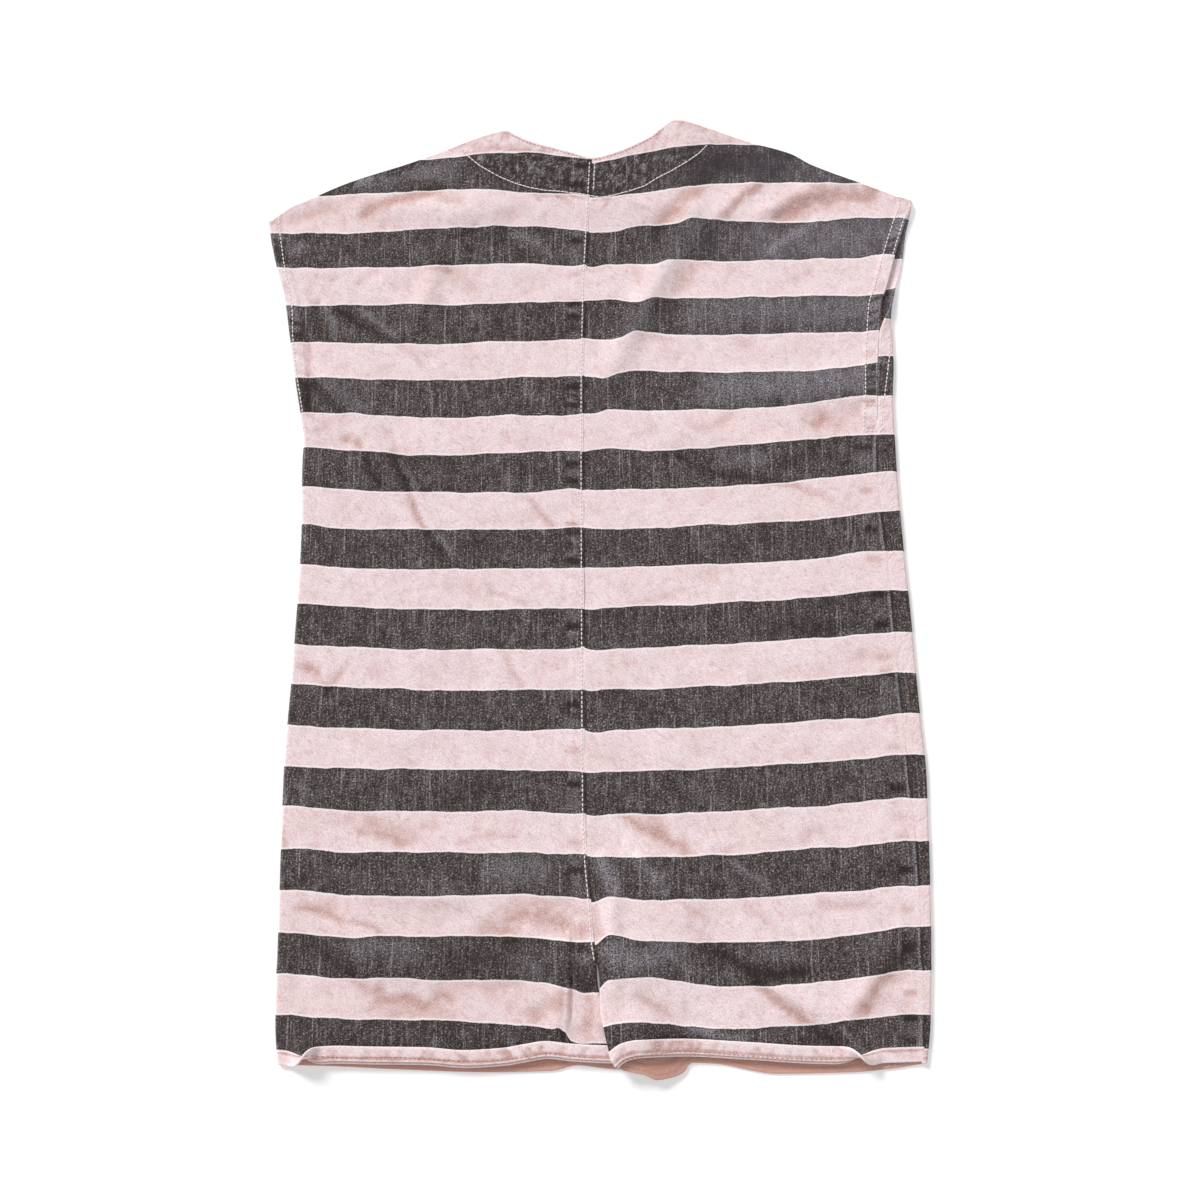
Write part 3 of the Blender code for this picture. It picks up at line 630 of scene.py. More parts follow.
@dataclass(frozen=True)
class Tucks:
    """Tucks that the stitches draw in a seam's allowance."""

    rows: tuple[tuple[float, float], ...]   # height of each, and the depth of its tone
    near: float             # cloth from the seam where they begin
    far: float              # and where they end
    between: float          # tone of the dark cloth between them
    half: float = 2.2       # half height of one tuck
    beyond: float = 8.0     # cloth above the first and below the last that has their tone
    end_fade: float = 4.0
    near_fade: float = 1.2
    far_fade: tuple[float, float] = (2.0, 1.5)

    def at(self, y: np.ndarray, distance: np.ndarray, dark: np.ndarray) -> np.ndarray:
        """Tone of the tucks at some places.

        Args:
            y: heights.
            distance: cloth from the seam.
            dark: 1 in a dark stripe, where they show most, and 0 in a pink one.

        Returns:
            Below 0 in a tuck and above it between two.
        """
        window = smooth(distance, self.near, self.near + self.near_fade)
        window = window * (1 - smooth(distance, self.far - self.far_fade[0],
                                      self.far + self.far_fade[1]))
        low, high = self.rows[-1][0] - self.beyond, self.rows[0][0] + self.beyond
        window = window * smooth(y, low - self.end_fade, low)
        window = window * (1 - smooth(y, high, high + self.end_fade))
        drawn = sum(depth * np.exp(-((y - at) / self.half) ** 4) for at, depth in self.rows)
        # Darker in each tuck and paler between: partly roping of the washed seam, partly painted
        # shade
        return window * (self.between * dark - (1.0 + dark) * drawn)


CENTRE_TUCKS = Tucks((
    (268, 0.7), (255, 0.9), (217, 0.7), (194, 0.4), (174, 0.9), (165, 0.9), (157, 0.4), (118, 0.9),
    (112, 0.5), (106, 0.8), (86, 0.3), (67, 0.9), (56, 0.7), (28, 0.9), (23, 0.6), (14, 0.4),
    (5, 0.8), (-4, 0.2), (-36, 0.8), (-46, 0.3), (-84, 0.9), (-90, 0.3), (-112, 0.4), (-132, 0.8),
    (-167, 0.5), (-183, 0.6), (-206, 0.3), (-228, 0.4),
), 2.6, 11.0, 0.28)
SIDE_TUCKS = Tucks((
    (78, 0.5), (50, 0.6), (25, 0.5), (6, 0.6), (-16, 0.6), (-35, 0.9), (-55, 0.3), (-65, 0.9),
    (-94, 0.45), (-110, 0.45), (-134, 1.0), (-152, 0.3), (-163, 0.5), (-183, 0.9), (-206, 0.4),
    (-228, 0.7), (-253, 0.7), (-267, 0.7), (-280, 0.4),
), 2.8, 12.0, 0.18)


@dataclass(frozen=True)
class HemRim:
    """Line along a leg hem that is rolled up on the back."""

    place: float            # cloth past the rolled-up part
    rise: float
    rise_half: float        # half width of the rise
    wear_and_shading: float
    shading_half: float        # and of its painted shading


# The double rim that the photo shows there: the rim, the gap below it and the roll
# Its rims are pale with painted highlight, and the gap below the rim dark with painted shadow
HEM_RIMS = (
    HemRim(0.1, 0.3, 0.3, 0.9, 0.3), HemRim(0.75, -0.12, 0.3, -2.2, 0.38),
    HemRim(1.6, 0.5, 0.45, 1.1, 0.5),
)


@dataclass(frozen=True)
class Rumple:
    """Fine unevenness of washed cloth, as rises at a few sizes of dent."""

    seed: float
    heights: tuple[tuple[float, float], ...] = ((34.0, 0.5), (15.0, 0.16), (6.5, 0.11))
    ridges: tuple[tuple[float, float], ...] = ()

    def at(self, x: np.ndarray, y: np.ndarray) -> np.ndarray:
        """Rise of the cloth at some places.

        Args:
            x: places across.
            y: heights.

        Returns:
            Rise, about as often down as up.
        """
        flat = list(zip(np.ravel(x), np.ravel(y)))
        total = np.array([
            sum(height * noise.noise((a / size, b / size, self.seed))
                for size, height in self.heights)
            for a, b in flat
        ])
        for size, height in self.ridges:
            values = [noise.noise((a / size + 0.3 * b / size, b / size - 0.2 * a / size,
                                   self.seed + 3)) for a, b in flat]
            total = total - height * np.abs(np.array(values))
        return total.reshape(np.shape(x))


WANDER = (Rumple(41.0, ((12.0, 1.5), (5.0, 0.5))), Rumple(47.0, ((12.0, 1.5), (5.0, 0.5))))
BROKEN_TONE = Rumple(53.0, ((7.0, 0.4), (3.0, 0.5)))
UNEVEN_STRIPES = Rumple(21.0, ((26.0, 1.0), (11.0, 0.6), (5.0, 0.3)))
FACING_CRINKLE = Rumple(31.0, ((4.6, 1.3), (2.3, 1.7)))
BACK_SEED = 2.0
BACK_RIDGES = ((26.0, 0.55), (12.0, 0.3))
BACK_HEM_CALM = 9.0         # dents start this far inside the leg hem
BACK_CALM_REACH = 12.0
RIPPLE = 4.2                # length of the waves along a stitched edge
RIPPLE_LEAN, RIPPLE_FADE = 0.10, 0.04
NO_EDGE = 99.0              # stands for an edge too far off to count


class Half(Enum):
    """Which half of the garment a panel is."""

    LEFT = -1
    RIGHT = 1


class Layer(Enum):
    """Which layer of the garment a panel is in."""

    FRONT = 0
    BACK = 1


@dataclass
class Spots:
    """Points of a panel's grid, and how much cloth lies between each and the panel's edges."""

    x: np.ndarray
    y: np.ndarray
    from_inner: np.ndarray
    from_outer: np.ndarray
    from_top: np.ndarray
    from_hem: np.ndarray
    past_bend: np.ndarray   # cloth past the start of the bend at the outer edge
    rolled: np.ndarray      # 1 where the leg's hem is rolled up on the back, 0 where it isn't
    dark: np.ndarray        # 1 in a dark stripe, 0 in a pink one


@dataclass
class Panel:
    """One cut piece: its outline, the edges that bend, and its grid of points."""

    name: str
    node: str               # solid that it replaces
    slot: str
    half: Half
    layer: Layer
    pitch: float            # largest step of the grid
    cut: tuple[float, float]    # flat width and length of the cut piece, in metres
    cut_area: float         # in square metres

    def __post_init__(self) -> None:
        """Set the grid's lines: fixed ones near the edges and even ones between."""
        self.side = self.half.value
        self.is_back = self.layer is Layer.BACK
        self.wraps = self.half is Half.RIGHT and not self.is_back
        self.mid = FRONT_MID + (LAYER_PITCH if self.is_back else 0.0)
        self.seam_lines = self.edge_lines(SEAM_TURN_UP)
        if self.is_back:
            reach = (self.seam_lines[-1], ALLOWANCE_REACH)
            self.seam_lines += lines_between(reach, ALLOWANCE_PITCH)[1:]
        self.top_lines = self.edge_lines(NECK_HEM)[::-1]
        if self.wraps:
            arc = math.pi * FOLD_RADIUS
            self.outer_lines = [(arc + ARMHOLE_HEM, 1.0)]
            self.outer_lines += [(arc * (1 - k / WRAP_STEPS), 1.0) for k in range(WRAP_STEPS + 1)]
            self.outer_lines += [(0.0, share) for share in WRAP_SHARES]
        else:
            self.outer_lines = [(line, 0.0) for line in self.edge_lines(ARMHOLE_HEM)[::-1]]
        if self.is_back:
            self.hem_lines = lines_between((0.0, EDGE_STRIP, FLIPPED), ROLLED_PITCH)
            self.hem_lines += [FLIPPED + RIM_PITCH * k for k in range(1, RIM_LINES + 1)]
            self.hem_lines += [FLIPPED + FLIP_ARC * k / ROLL_STEPS
                               for k in range(ROLL_FIRST, ROLL_STEPS + 1)]
            self.hem_lines += [FLIPPED + FLIP_ARC + EDGE_STRIP]
        else:
            marks = (0.0, EDGE_STRIP, LEG_HEM, LEG_HEM + HEM_STEP)
            self.hem_lines = lines_between(marks, TURNED_PITCH)
        width = max(abs(float(self.outer(np.array(y))) - float(self.inner(np.array(y))))
                    for y in (0.0, -200.0))
        self.columns = int(width / self.pitch)
        self.rows = int(BODY_LENGTH / self.pitch)

    def edge_lines(self, hem: float) -> list[float]:
        """Grid lines beside an edge that bends and is hemmed.

        Args:
            hem: cloth from the edge to the hem's inner edge.

        Returns:
            Cloth from the edge to each line, the nearest first.
        """
        arc_lines = [SEAM_ARC * k / ARC_STEPS for k in range(ARC_STEPS + 1)]
        marks = (SEAM_ARC, hem, hem + HEM_STEP)
        return arc_lines + lines_between(marks, min(self.pitch, HEM_PITCH))[1:]

    def inner(self, y: np.ndarray) -> np.ndarray:
        """Centre seam above the crotch, the leg's inner fold below it."""
        leg = RIGHT_INNER if self.side > 0 else LEFT_INNER
        return np.where(y >= CROTCH_Y, BACK_SEAM.at(y), leg.at(y)) + self.side * SEAM_GAP / 2

    def outer(self, y: np.ndarray) -> np.ndarray:
        """Outer edge at some heights.

        Args:
            y: heights.

        Returns:
            Places across.
        """
        if self.side < 0:
            return LEFT_EDGE.at(y)
        return SIDE_SEAM.at(y) if self.is_back else RIGHT_FOLD.at(y)

    def top(self, x: np.ndarray) -> np.ndarray:
        """Upper edge at some places across.

        Args:
            x: places across.

        Returns:
            Heights.
        """
        if self.is_back:
            return SHOULDER_LINE.at(x)
        low, high = FRONT_NECK.rows[0][0], FRONT_NECK.rows[-1][0]
        return np.where((x > low) & (x < high), FRONT_NECK.at(x), SHOULDER_LINE.at(x))

    def hem_line(self, x: np.ndarray) -> np.ndarray:
        """Lowest line of the leg at some places across.

        Args:
            x: places across.

        Returns:
            Heights.
        """
        if self.is_back:
            return (RIGHT_HEM_FOLD if self.side > 0 else BACK_HEM_FOLD).at(x)
        return (RIGHT_FRONT_HEM if self.side > 0 else FRONT_HEM).at(x)

    def outer_bend(self, y: np.ndarray) -> tuple[np.ndarray, float, np.ndarray]:
        """Bend at the outer edge.

        Args:
            y: heights.

        Returns:
            Angle turned, arc of cloth that turns and cloth beyond it.
        """
        if self.wraps:
            seam = RIGHT_FOLD.at(y) - SIDE_SEAM.at(y)
            wrap = np.where(y > WRAP_OVER_Y, WRAP.at(y), seam - SEAM_GAP)
            beyond = np.maximum(wrap - FOLD_RADIUS - FOLD_WALL / 2, LEAST_WRAP)
            turn = math.pi * (1 - smooth(y, WRAP_OVER_Y, WRAP_FLAT_Y))
            return turn, math.pi * FOLD_RADIUS, beyond
        turn = (1 - smooth(y, *UNDERARM_Y)) * SEAM_TURN if self.side < 0 else np.zeros(np.shape(y))
        return turn, SEAM_ARC, np.zeros(np.shape(y))

    @staticmethod
    def station(length: np.ndarray, index: np.ndarray, near: list[float], far: list[np.ndarray],
                count: int) -> np.ndarray:
        """Distance of a grid line along a length.

        Args:
            length: whole length at each point.
            index: number of the line at each point.
            near: distances of the first lines.
            far: distances of the last lines back from the length's end.
            count: lines between them.

        Returns:
            Distance of each point's line.
        """
        lead = len(near)
        first, last = near[-1], length - far[0]
        found = first + (last - first) * (index - lead + 1) / (count + 1)
        found = np.where(index < lead, np.array(near)[np.clip(index, 0, lead - 1)], found)
        for k, distance in enumerate(far):
            found = np.where(index == lead + count + k, length - distance, found)
        return found

    def across(self, y: np.ndarray,
               column: np.ndarray) -> tuple[np.ndarray, np.ndarray, float, np.ndarray]:
        """Where the columns lie.

        Args:
            y: heights.
            column: numbers of the columns, from the inner edge.

        Returns:
            Cloth from the inner edge to each column, then the outer bend's start, arc and angle.
        """
        angle, arc, beyond = self.outer_bend(y)
        turned = np.minimum(angle, math.pi / 2)
        safe = np.maximum(angle, 1e-6)
        reach = np.where(angle > 1e-6, np.sin(turned) * (arc / safe + FOLD_WALL / 2), arc)
        start = np.abs(self.outer(y) - self.inner(y)) - reach
        far = [constant + share * beyond for constant, share in self.outer_lines]
        steps = self.station(start + arc + beyond, column, self.seam_lines, far, self.columns)
        return steps, start, arc, angle

    def inner_drop(self, distance: np.ndarray, y: np.ndarray) -> tuple[np.ndarray, np.ndarray]:
        """Turn of a leg's inner edge towards the inseam.

        Args:
            distance: cloth from the inner edge.
            y: heights.

        Returns:
            Shift away from the inner edge, and drop.
        """
        closed = 1 - smooth(y, *INSEAM_TOP_Y)
        angle = closed * SEAM_TURN * (1 - HEM_UNTURN * (1 - smooth(y, *HEM_UNTURN_Y)))
        zero = np.zeros(np.shape(y))
        forward, _ = bend(SEAM_ARC + zero, zero, SEAM_ARC, angle)
        forward = forward + FOLD_WALL / 2 * np.sin(angle)
        reached, fallen = bend(np.maximum(SEAM_ARC - distance, 0.0), zero, SEAM_ARC, angle)
        bends = distance < SEAM_ARC
        shift = forward - np.minimum(distance, SEAM_ARC) - np.where(bends, reached, 0.0)
        return shift, np.where(bends, fallen, 0.0)

    def shoulder_bend(self, x: np.ndarray, to_edge: np.ndarray) -> tuple[np.ndarray, np.ndarray]:
        """Turn of the upper edge towards the shoulder seam; the neck stays flat.

        Args:
            x: places across.
            to_edge: cloth left up to the edge.

        Returns:
            Shift up the garment, and drop.
        """
        closed = smooth(np.abs(x - NECK_MIDDLE_X), *SHOULDER_X)
        closed = closed * (1 - smooth(np.abs(x), *SHOULDER_TIP_X))
        past = np.maximum(SEAM_ARC - to_edge, 0.0)
        forward, turn = bend(past, np.zeros(np.shape(x)), SEAM_ARC, closed * SEAM_TURN)
        return forward - past, turn

    def leg_lift(self, x: np.ndarray, y: np.ndarray) -> np.ndarray:
        """Rise of the crotch and of the right leg's inner part, which lies over the left leg.

        Args:
            x: places across.
            y: heights.

        Returns:
            Rise of the cloth there.
        """
        down = 1 - smooth(y, LIFT_FULL_Y, LIFT_TOP_Y)
        if self.side > 0:
            at_hem = HEM_LIFT * (1 - smooth(y, *HEM_LIFT_Y))
            return (LIFT * down + at_hem) * (1 - smooth(x, *LIFT_RIGHT_X))
        return LIFT * down * smooth(y, LIFT_LEFT_END_Y, CROTCH_Y) * smooth(x, *LIFT_LEFT_X)

    def relief(self, x: np.ndarray, y: np.ndarray) -> tuple[np.ndarray, np.ndarray]:
        """Folds and creases of the upper layer, fading towards the outline.

        Args:
            x: places across.
            y: heights.

        Returns:
            Rise of the cloth there, and the painted shade and highlight of its creases.
        """
        seam_side = np.abs(x - self.inner(y)) + FOLD_SEAM_SHARE
        edge = np.minimum.reduce([seam_side, np.abs(self.outer(y) - x), self.top(x) - y,
                                  y - self.hem_line(x) - FOLD_HEM_CLEAR])
        folds = sum(fold.at(x, y) for fold in FOLDS) * smooth(edge, 0.0, FOLD_EDGE_FADE)
        rise = sum(crease.at(x, y) for crease in PLEAT) if self.side < 0 else np.zeros(np.shape(x))
        tone = np.zeros(np.shape(x))
        wandered_x, wandered_y = x + WANDER[0].at(x, y), y + WANDER[1].at(x, y)
        for mark in MARKS:
            value = mark.at(wandered_x, wandered_y)
            tone = tone + value
            rise = rise + value * min(mark.width, WIDEST_RISE) * MARK_RISE
        rise = np.maximum(folds + rise * smooth(edge, 0.0, CREASE_EDGE_FADE), DEEPEST)
        return rise, tone * (1 + BROKEN_TONE.at(x, y))

    @staticmethod
    def ripple(along: np.ndarray, across: np.ndarray, seed: float) -> np.ndarray:
        """Uneven waves along a stitched edge.

        Args:
            along: distance along the edge.
            across: distance from it.
            seed: which waves.

        Returns:
            About as often below 0 as above it.
        """
        flat = zip(np.ravel(along), np.ravel(across))
        values = [noise.noise((a / RIPPLE + RIPPLE_LEAN * b, seed, b * RIPPLE_FADE))
                  for a, b in flat]
        return np.array(values).reshape(np.shape(along))

    def puckers(self, at: Spots) -> np.ndarray:
        """Short ridges that the sewing draws across the hems.

        Args:
            at: the panel's points.

        Returns:
            Rise of the cloth there.
        """
        rise = np.zeros(np.shape(at.x))
        # Distance from each hem, place along it, height, reach and seed of its ridges
        bands = (
            (at.from_outer, at.y, 0.34 * smooth(at.y, *UNDERARM_Y), 7.0, 5.7),
            (at.from_top, at.x, 0.12, 6.0, 9.4),
            (at.from_hem, at.x, 0.17, 7.0, 12.8),
        )
        for distance, along, height, reach, seed in bands:
            window = smooth(distance, 0.0, 2.0) * (1 - smooth(distance, reach * 0.7, reach * 1.3))
            rise += height * window * self.ripple(along, distance, seed + self.side)
        return rise

    def outline(self) -> tuple[np.ndarray, ...]:
        """Where each column meets the upper edge and the leg's hem.

        Returns:
            For each column: place across and height at the upper edge, cloth from there to the
            hem's roll, all its cloth, and 1 where the hem is rolled or 0 where it lies flat.
        """
        count = len(self.seam_lines) + self.columns + len(self.outer_lines)
        column = np.arange(count)
        y_top = np.zeros(count)
        for _ in range(TOP_ROUNDS):
            steps, start, _, _ = self.across(y_top, column)
            x = self.inner(y_top) + self.side * np.minimum(steps, start)
            y_top = self.top(x)
        steps, start, _, _ = self.across(np.full(count, HEM_Y), column)
        x_hem = self.inner(HEM_Y) + self.side * np.minimum(steps, start)
        rolled = np.zeros(count)
        if self.is_back:
            rolled = (RIGHT_FLIP if self.side > 0 else LEFT_FLIP).at(x_hem)
        start = (y_top - self.hem_line(x_hem) - rolled * (FLIP_RADIUS + FOLD_WALL / 2)
                 - (1 - rolled) * (FLIP_ARC + FLIPPED))
        return x, y_top, start, start + FLIP_ARC + FLIPPED, rolled

    def grid(self) -> dict[str, np.ndarray]:
        """Middle points of the cloth, with all that a shell round them needs, at each crossing.

        Returns:
            Arrays by name, rows from the hem up: x, y and z; cloth coordinates u, v and v_inside;
                extra
            thickness outside and inside; wear, rubbing with painted shade and highlight; and
            mark_inside,
            1 where the turned-in cloth shows its right side on the panel's wrong one, and -1
            elsewhere.
        """
        lines = self.outline()
        rows = len(self.hem_lines) + self.rows + len(self.top_lines)
        column, row = np.meshgrid(np.arange(len(lines[0])), np.arange(rows))
        x, y_top, start, run, rolled = (np.broadcast_to(line, row.shape) for line in lines)
        far = [np.array(line) for line in self.top_lines]
        from_hem = self.station(run, row, self.hem_lines, far, self.rows)
        from_top = run - from_hem
        forward, hem_up = bend(from_top, start, FLIP_ARC, math.pi * rolled)
        top_shift, top_turn = self.shoulder_bend(x, from_top)
        y = y_top - forward + top_shift
        steps, out_start, out_arc, angle = self.across(y, column)
        out, out_turn = bend(steps, out_start, out_arc, angle)
        shift, inner_turn = self.inner_drop(steps, y)
        x = self.inner(y) + self.side * (out + shift)
        turns = top_turn + inner_turn + out_turn
        from_outer = out_start + out_arc + self.outer_bend(y)[2] - steps
        v = stripe_place(x, y, self.side, not self.is_back)
        v = v + UNEVEN_STRIPES.at(x, y)
        by_hem = LAST_EDGE + OUTSIDE_PINK - from_hem
        v = by_hem + (v - by_hem) * smooth(from_hem, *HEM_STRIPE_FADE)
        at = Spots(x, y, steps, from_outer, from_top, from_hem, steps - out_start, rolled,
                   in_dark_stripe(v))
        z = self.mid + self.leg_lift(x, y)
        rumple = pucker = tuck = tone = np.zeros(x.shape)
        if self.is_back:
            relief, tone = self.relief(x, y)
            rumple, pucker = self.rumple(at), self.puckers(at)
            tuck = (CENTRE_TUCKS.at(y, steps, at.dark) if self.side < 0
                    else SIDE_TUCKS.at(y, from_outer, at.dark))
            z = z + hem_up - turns + relief + neck_raise(x, y)
            z = z + rumple + pucker + TUCK_RISE * tuck
        else:
            z = z + turns
        if self.wraps:
            no_edge = np.full(x.shape, NO_EDGE)
            side_only = replace(at, from_top=no_edge, from_hem=no_edge)
            pucker = smooth(at.past_bend, *WRAP_PUCKER) * 0.5 * self.puckers(side_only)
            z = z + pucker
        turned_up = from_hem < FLIPPED + FLIP_ARC
        v_inside = np.where(turned_up, LAST_EDGE + OUTSIDE_PINK + from_hem, v)
        outside, inside, mark_inside = self.thickness(at)
        wear_and_shading = self.wear_and_shading(at, rumple, pucker, tuck + tone)
        if self.is_back:
            wear_and_shading = wear_and_shading + self.facing_wear_and_shading(at, v)
        return {"x": x, "y": y, "z": z, "u": self.inner(y) + self.side * steps, "v": v,
                "v_inside": v_inside, "outside": outside, "inside": inside,
                "wear_and_shading": np.clip(wear_and_shading, -1.0, 1.0), "mark_inside": mark_inside}

    def rumple(self, at: Spots) -> np.ndarray:
        """Dents and soft ridges of washed cloth, calm along the edges.

        Args:
            at: the panel's points.

        Returns:
            Rise of the cloth there.
        """
        edge = np.minimum(np.minimum(at.from_outer, at.from_top), at.from_hem - BACK_HEM_CALM)
        dents = Rumple(BACK_SEED + self.side, ridges=BACK_RIDGES).at(at.x, at.y)
        return dents * smooth(edge, 0.0, BACK_CALM_REACH)

    def thickness(self, at: Spots) -> tuple[np.ndarray, np.ndarray, np.ndarray]:
        """Cloth that is turned in at the hems.

        Args:
            at: the panel's points.

        Returns:
            Extra thickness outside and inside, and the mark of the inside.
        """
        side_hem = (at.from_outer < ARMHOLE_HEM + AT_LINE) & (at.y > UNDERARM_Y[1])
        beside_neck = np.abs(at.x - NECK_MIDDLE_X) < SHOULDER_X[0]
        neck_hem = (at.from_top < NECK_HEM + AT_LINE) & beside_neck
        outside = np.where(side_hem, HEM_EXTRA if self.side > 0 else FLAT_HEM_EXTRA, 0.0)
        stitched = 0.45 * hump(at.from_hem - LEG_HEM + HEM_STITCH_IN, 0.8)
        inside = np.where(at.from_hem < LEG_HEM + AT_LINE, HEM_EXTRA - stitched, 0.0)
        if self.is_back and self.side < 0:
            allowance = (at.from_inner < SEAM_TURN_UP + AT_LINE) & (at.y > CROTCH_Y)
            outside = np.where(allowance, np.maximum(outside, ALLOWANCE_EXTRA), outside)
        inside = inside + at.rolled * sum(
            rim.rise * hump(at.from_hem - FLIPPED - rim.place, rim.rise_half) for rim in HEM_RIMS)
        if not self.is_back:
            inside = np.where(side_hem, HEM_EXTRA, inside)
            outside = np.zeros(outside.shape)
        rolled = (at.from_hem < FLIPPED + HEM_RIMS[-1].place + ROLLED_EXTRA) & self.is_back
        return outside, inside, np.where(side_hem | neck_hem | rolled, 1.0, -1.0)

    def wear_and_shading(self, at: Spots, rumple: np.ndarray, pucker: np.ndarray,
             tone: np.ndarray) -> np.ndarray:
        """Rubbed ridges and edges with painted highlight, and painted shade in hollows and along
        seams.

        Args:
            at: the panel's points.
            rumple: rise from the dents.
            pucker: rise from the sewing.
            tone: painted shade and highlight of the creases, and the tone of the tucks.

        Returns:
            Above 0 where rubbing and painted highlight pale the cloth, and below it where painted
            shade darkens it.
        """
        # Painted shade in the dents and painted highlight on their bumps
        wear_and_shading = np.clip((rumple - blurred(rumple, 4)) / 0.9, -0.35, 0.25)
        # Pucker ridges paler and their grooves darker, partly roping of the washed hems and partly
        # painted shade and highlight; then the tone of the creases and tucks
        wear_and_shading = wear_and_shading + np.clip(pucker / 0.07, -1.0, 0.7) * (0.4 + 0.5 * at.dark) + tone
        for distance, height, reach in self.edge_wear_and_shading(at):
            wear_and_shading = wear_and_shading + height * hump(distance, reach)
        # Painted highlight on the rolled hem's rims and painted shadow in the gap between them
        return wear_and_shading + at.rolled * sum(
            rim.wear_and_shading * hump(at.from_hem - FLIPPED - rim.place, rim.shading_half) for rim in HEM_RIMS)

    @staticmethod
    def facing_wear_and_shading(at: Spots, v: np.ndarray) -> np.ndarray:
        """Crinkled cloth over the facing, mottled by rubbing and painted shade and highlight, and
        painted shadow of the dent along its lower edge.

        Args:
            at: the panel's points.
            v: cloth below the first stripe.

        Returns:
            Rubbing and painted shading that it adds.
        """
        above = at.y - FACING_LOW.at(at.x)
        faced = np.abs(at.x) < FACED_HALF
        crinkled = FACING_CRINKLE.at(at.x, at.y) - 0.2
        found = smooth(above, -0.5, 1.5) * faced * crinkled * (1 - 0.7 * smooth(-v, 0.0, 2.0))
        # Painted shadow of the stitched dent along the facing's lower edge
        return found - 0.9 * faced * hump(above + 1.2, 0.9)

    def edge_wear_and_shading(self, at: Spots) -> list[tuple[np.ndarray, np.ndarray | float, float]]:
        """Paler lines where folded edges are rubbed, partly painted highlight, and dark lines of
        painted shade along seams and stitches.

        Args:
            at: the panel's points.

        Returns:
            Distance from each line, its rubbing and painted shading there, and its reach.
        """
        dark = at.dark
        # Folded edges of the leg hems and the neck paler, rubbing with painted highlight; painted
        # shade along the leg hem's stitch line
        lines = [(at.from_hem, 0.8, 0.9), (at.from_top, 0.5, 0.6),
                 (at.from_hem - LEG_HEM + HEM_STITCH_IN, -1.1, 0.9)]
        if self.is_back:
            # Painted shade of the stitch holes along the back's neck edge
            lines.append((at.from_top - 1.3, -0.45, 0.6))
        else:
            # Painted shade line that shows the front's hem in layers
            lines.append((at.from_hem - 2.6, -0.9, 0.7))
        is_open = smooth(at.y, *UNDERARM_Y)     # 1 along the armhole, 0 along the side seam
        stitched = at.from_outer - ARMHOLE_HEM + 0.6
        if self.wraps:
            # Fold paler along the armhole, rubbing with painted highlight; painted shade along the
            # seam below
            lines.append((at.from_outer, 0.8 * is_open - (0.1 + 0.7 * dark) * (1 - is_open), 1.2))
        elif self.is_back and self.side < 0:
            # Edge paler, rubbing with painted highlight; painted shade along the armhole stitches
            # and painted shadow beside the centre seam in the dark stripes
            lines.append((at.from_outer, 0.8, 1.0))
            lines.append((stitched, -0.3 * is_open, 0.8))
            lines.append((at.from_inner, 0.25 - 1.1 * dark, 0.7))
        elif self.is_back:
            # Painted shadow at the side seam's edge with painted highlight on its ridge; painted
            # shade along the armhole stitches and beside the centre seam
            lines.append((at.from_outer, 0.8 * is_open - (0.1 + 0.9 * dark) * (1 - is_open), 0.7))
            lines.append((at.from_outer - 1.6, (0.1 + 1.0 * dark) * (1 - is_open), 0.6))
            lines.append((stitched, -0.6 * is_open, 0.8))
            lines.append((at.from_inner, 0.25 - 1.15 * dark, 1.0))
        return lines

    def build(self) -> bpy.types.Object:
        """Thin shell of cloth round the middle points.

        Returns:
            The new piece.
        """
        return shell_object(self.name, self.grid(), CLOTH, self.side > 0, self.is_back)

    def dress(self, piece: bpy.types.Object, finish: bpy.types.Material) -> None:
        """Give the panel its cloth, tie it to the garment and hide the solid that it replaces.

        Args:
            piece: the panel as built.
            finish: its cloth.
        """
        piece.data.materials.append(finish)
        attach(piece, "root")
        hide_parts(self.node)
        LOG.info("%s: %d faces", piece.name, len(piece.data.polygons))


def neck_raise(x: np.ndarray, y: np.ndarray) -> np.ndarray:
    """Rise of the back neck over the facing, by places across and heights."""
    return NECK_RAISE * (1 - smooth(np.abs(x), *NECK_RAISE_X)) * smooth(y, *NECK_RAISE_Y)


def unit(vectors: np.ndarray) -> np.ndarray:
    """Vectors of length 1 in the same directions."""
    return vectors / np.maximum(np.linalg.norm(vectors, axis=-1, keepdims=True), 1e-12)


def slopes(points: np.ndarray, axis: int) -> np.ndarray:
    """Direction of the grid's lines at each point, carried round the bend at its ends.

    Args:
        points: grid of points.
        axis: 0 along the columns, 1 along the rows.

    Returns:
        Unit vectors.
    """
    p = np.moveaxis(points, axis, 0)
    found = np.empty_like(p)
    found[1:-1] = unit(unit(p[2:] - p[1:-1]) + unit(p[1:-1] - p[:-2]))
    for end, near, far, sign in ((0, 1, 2, 1), (-1, -2, -3, -1)):
        chord, onward = unit(p[near] - p[end]), unit(p[far] - p[end])
        found[end] = unit(2 * chord - onward) * sign
    return np.moveaxis(found, 0, axis)


def blurred(values: np.ndarray, reach: int) -> np.ndarray:
    """Mean of a grid's values over a square of neighbours.

    Args:
        values: grid of values.
        reach: neighbours taken on each side.

    Returns:
        Grid of means.
    """
    found = values
    for axis in (0, 1):
        pad = [(0, 0), (0, 0)]
        pad[axis] = (reach + 1, reach)
        sums = np.cumsum(np.pad(found, pad, mode="edge"), axis=axis)
        long = 2 * reach + 1
        high = np.take(sums, np.arange(long, sums.shape[axis]), axis=axis)
        low = np.take(sums, np.arange(0, sums.shape[axis] - long), axis=axis)
        found = (high - low) / long
    return found


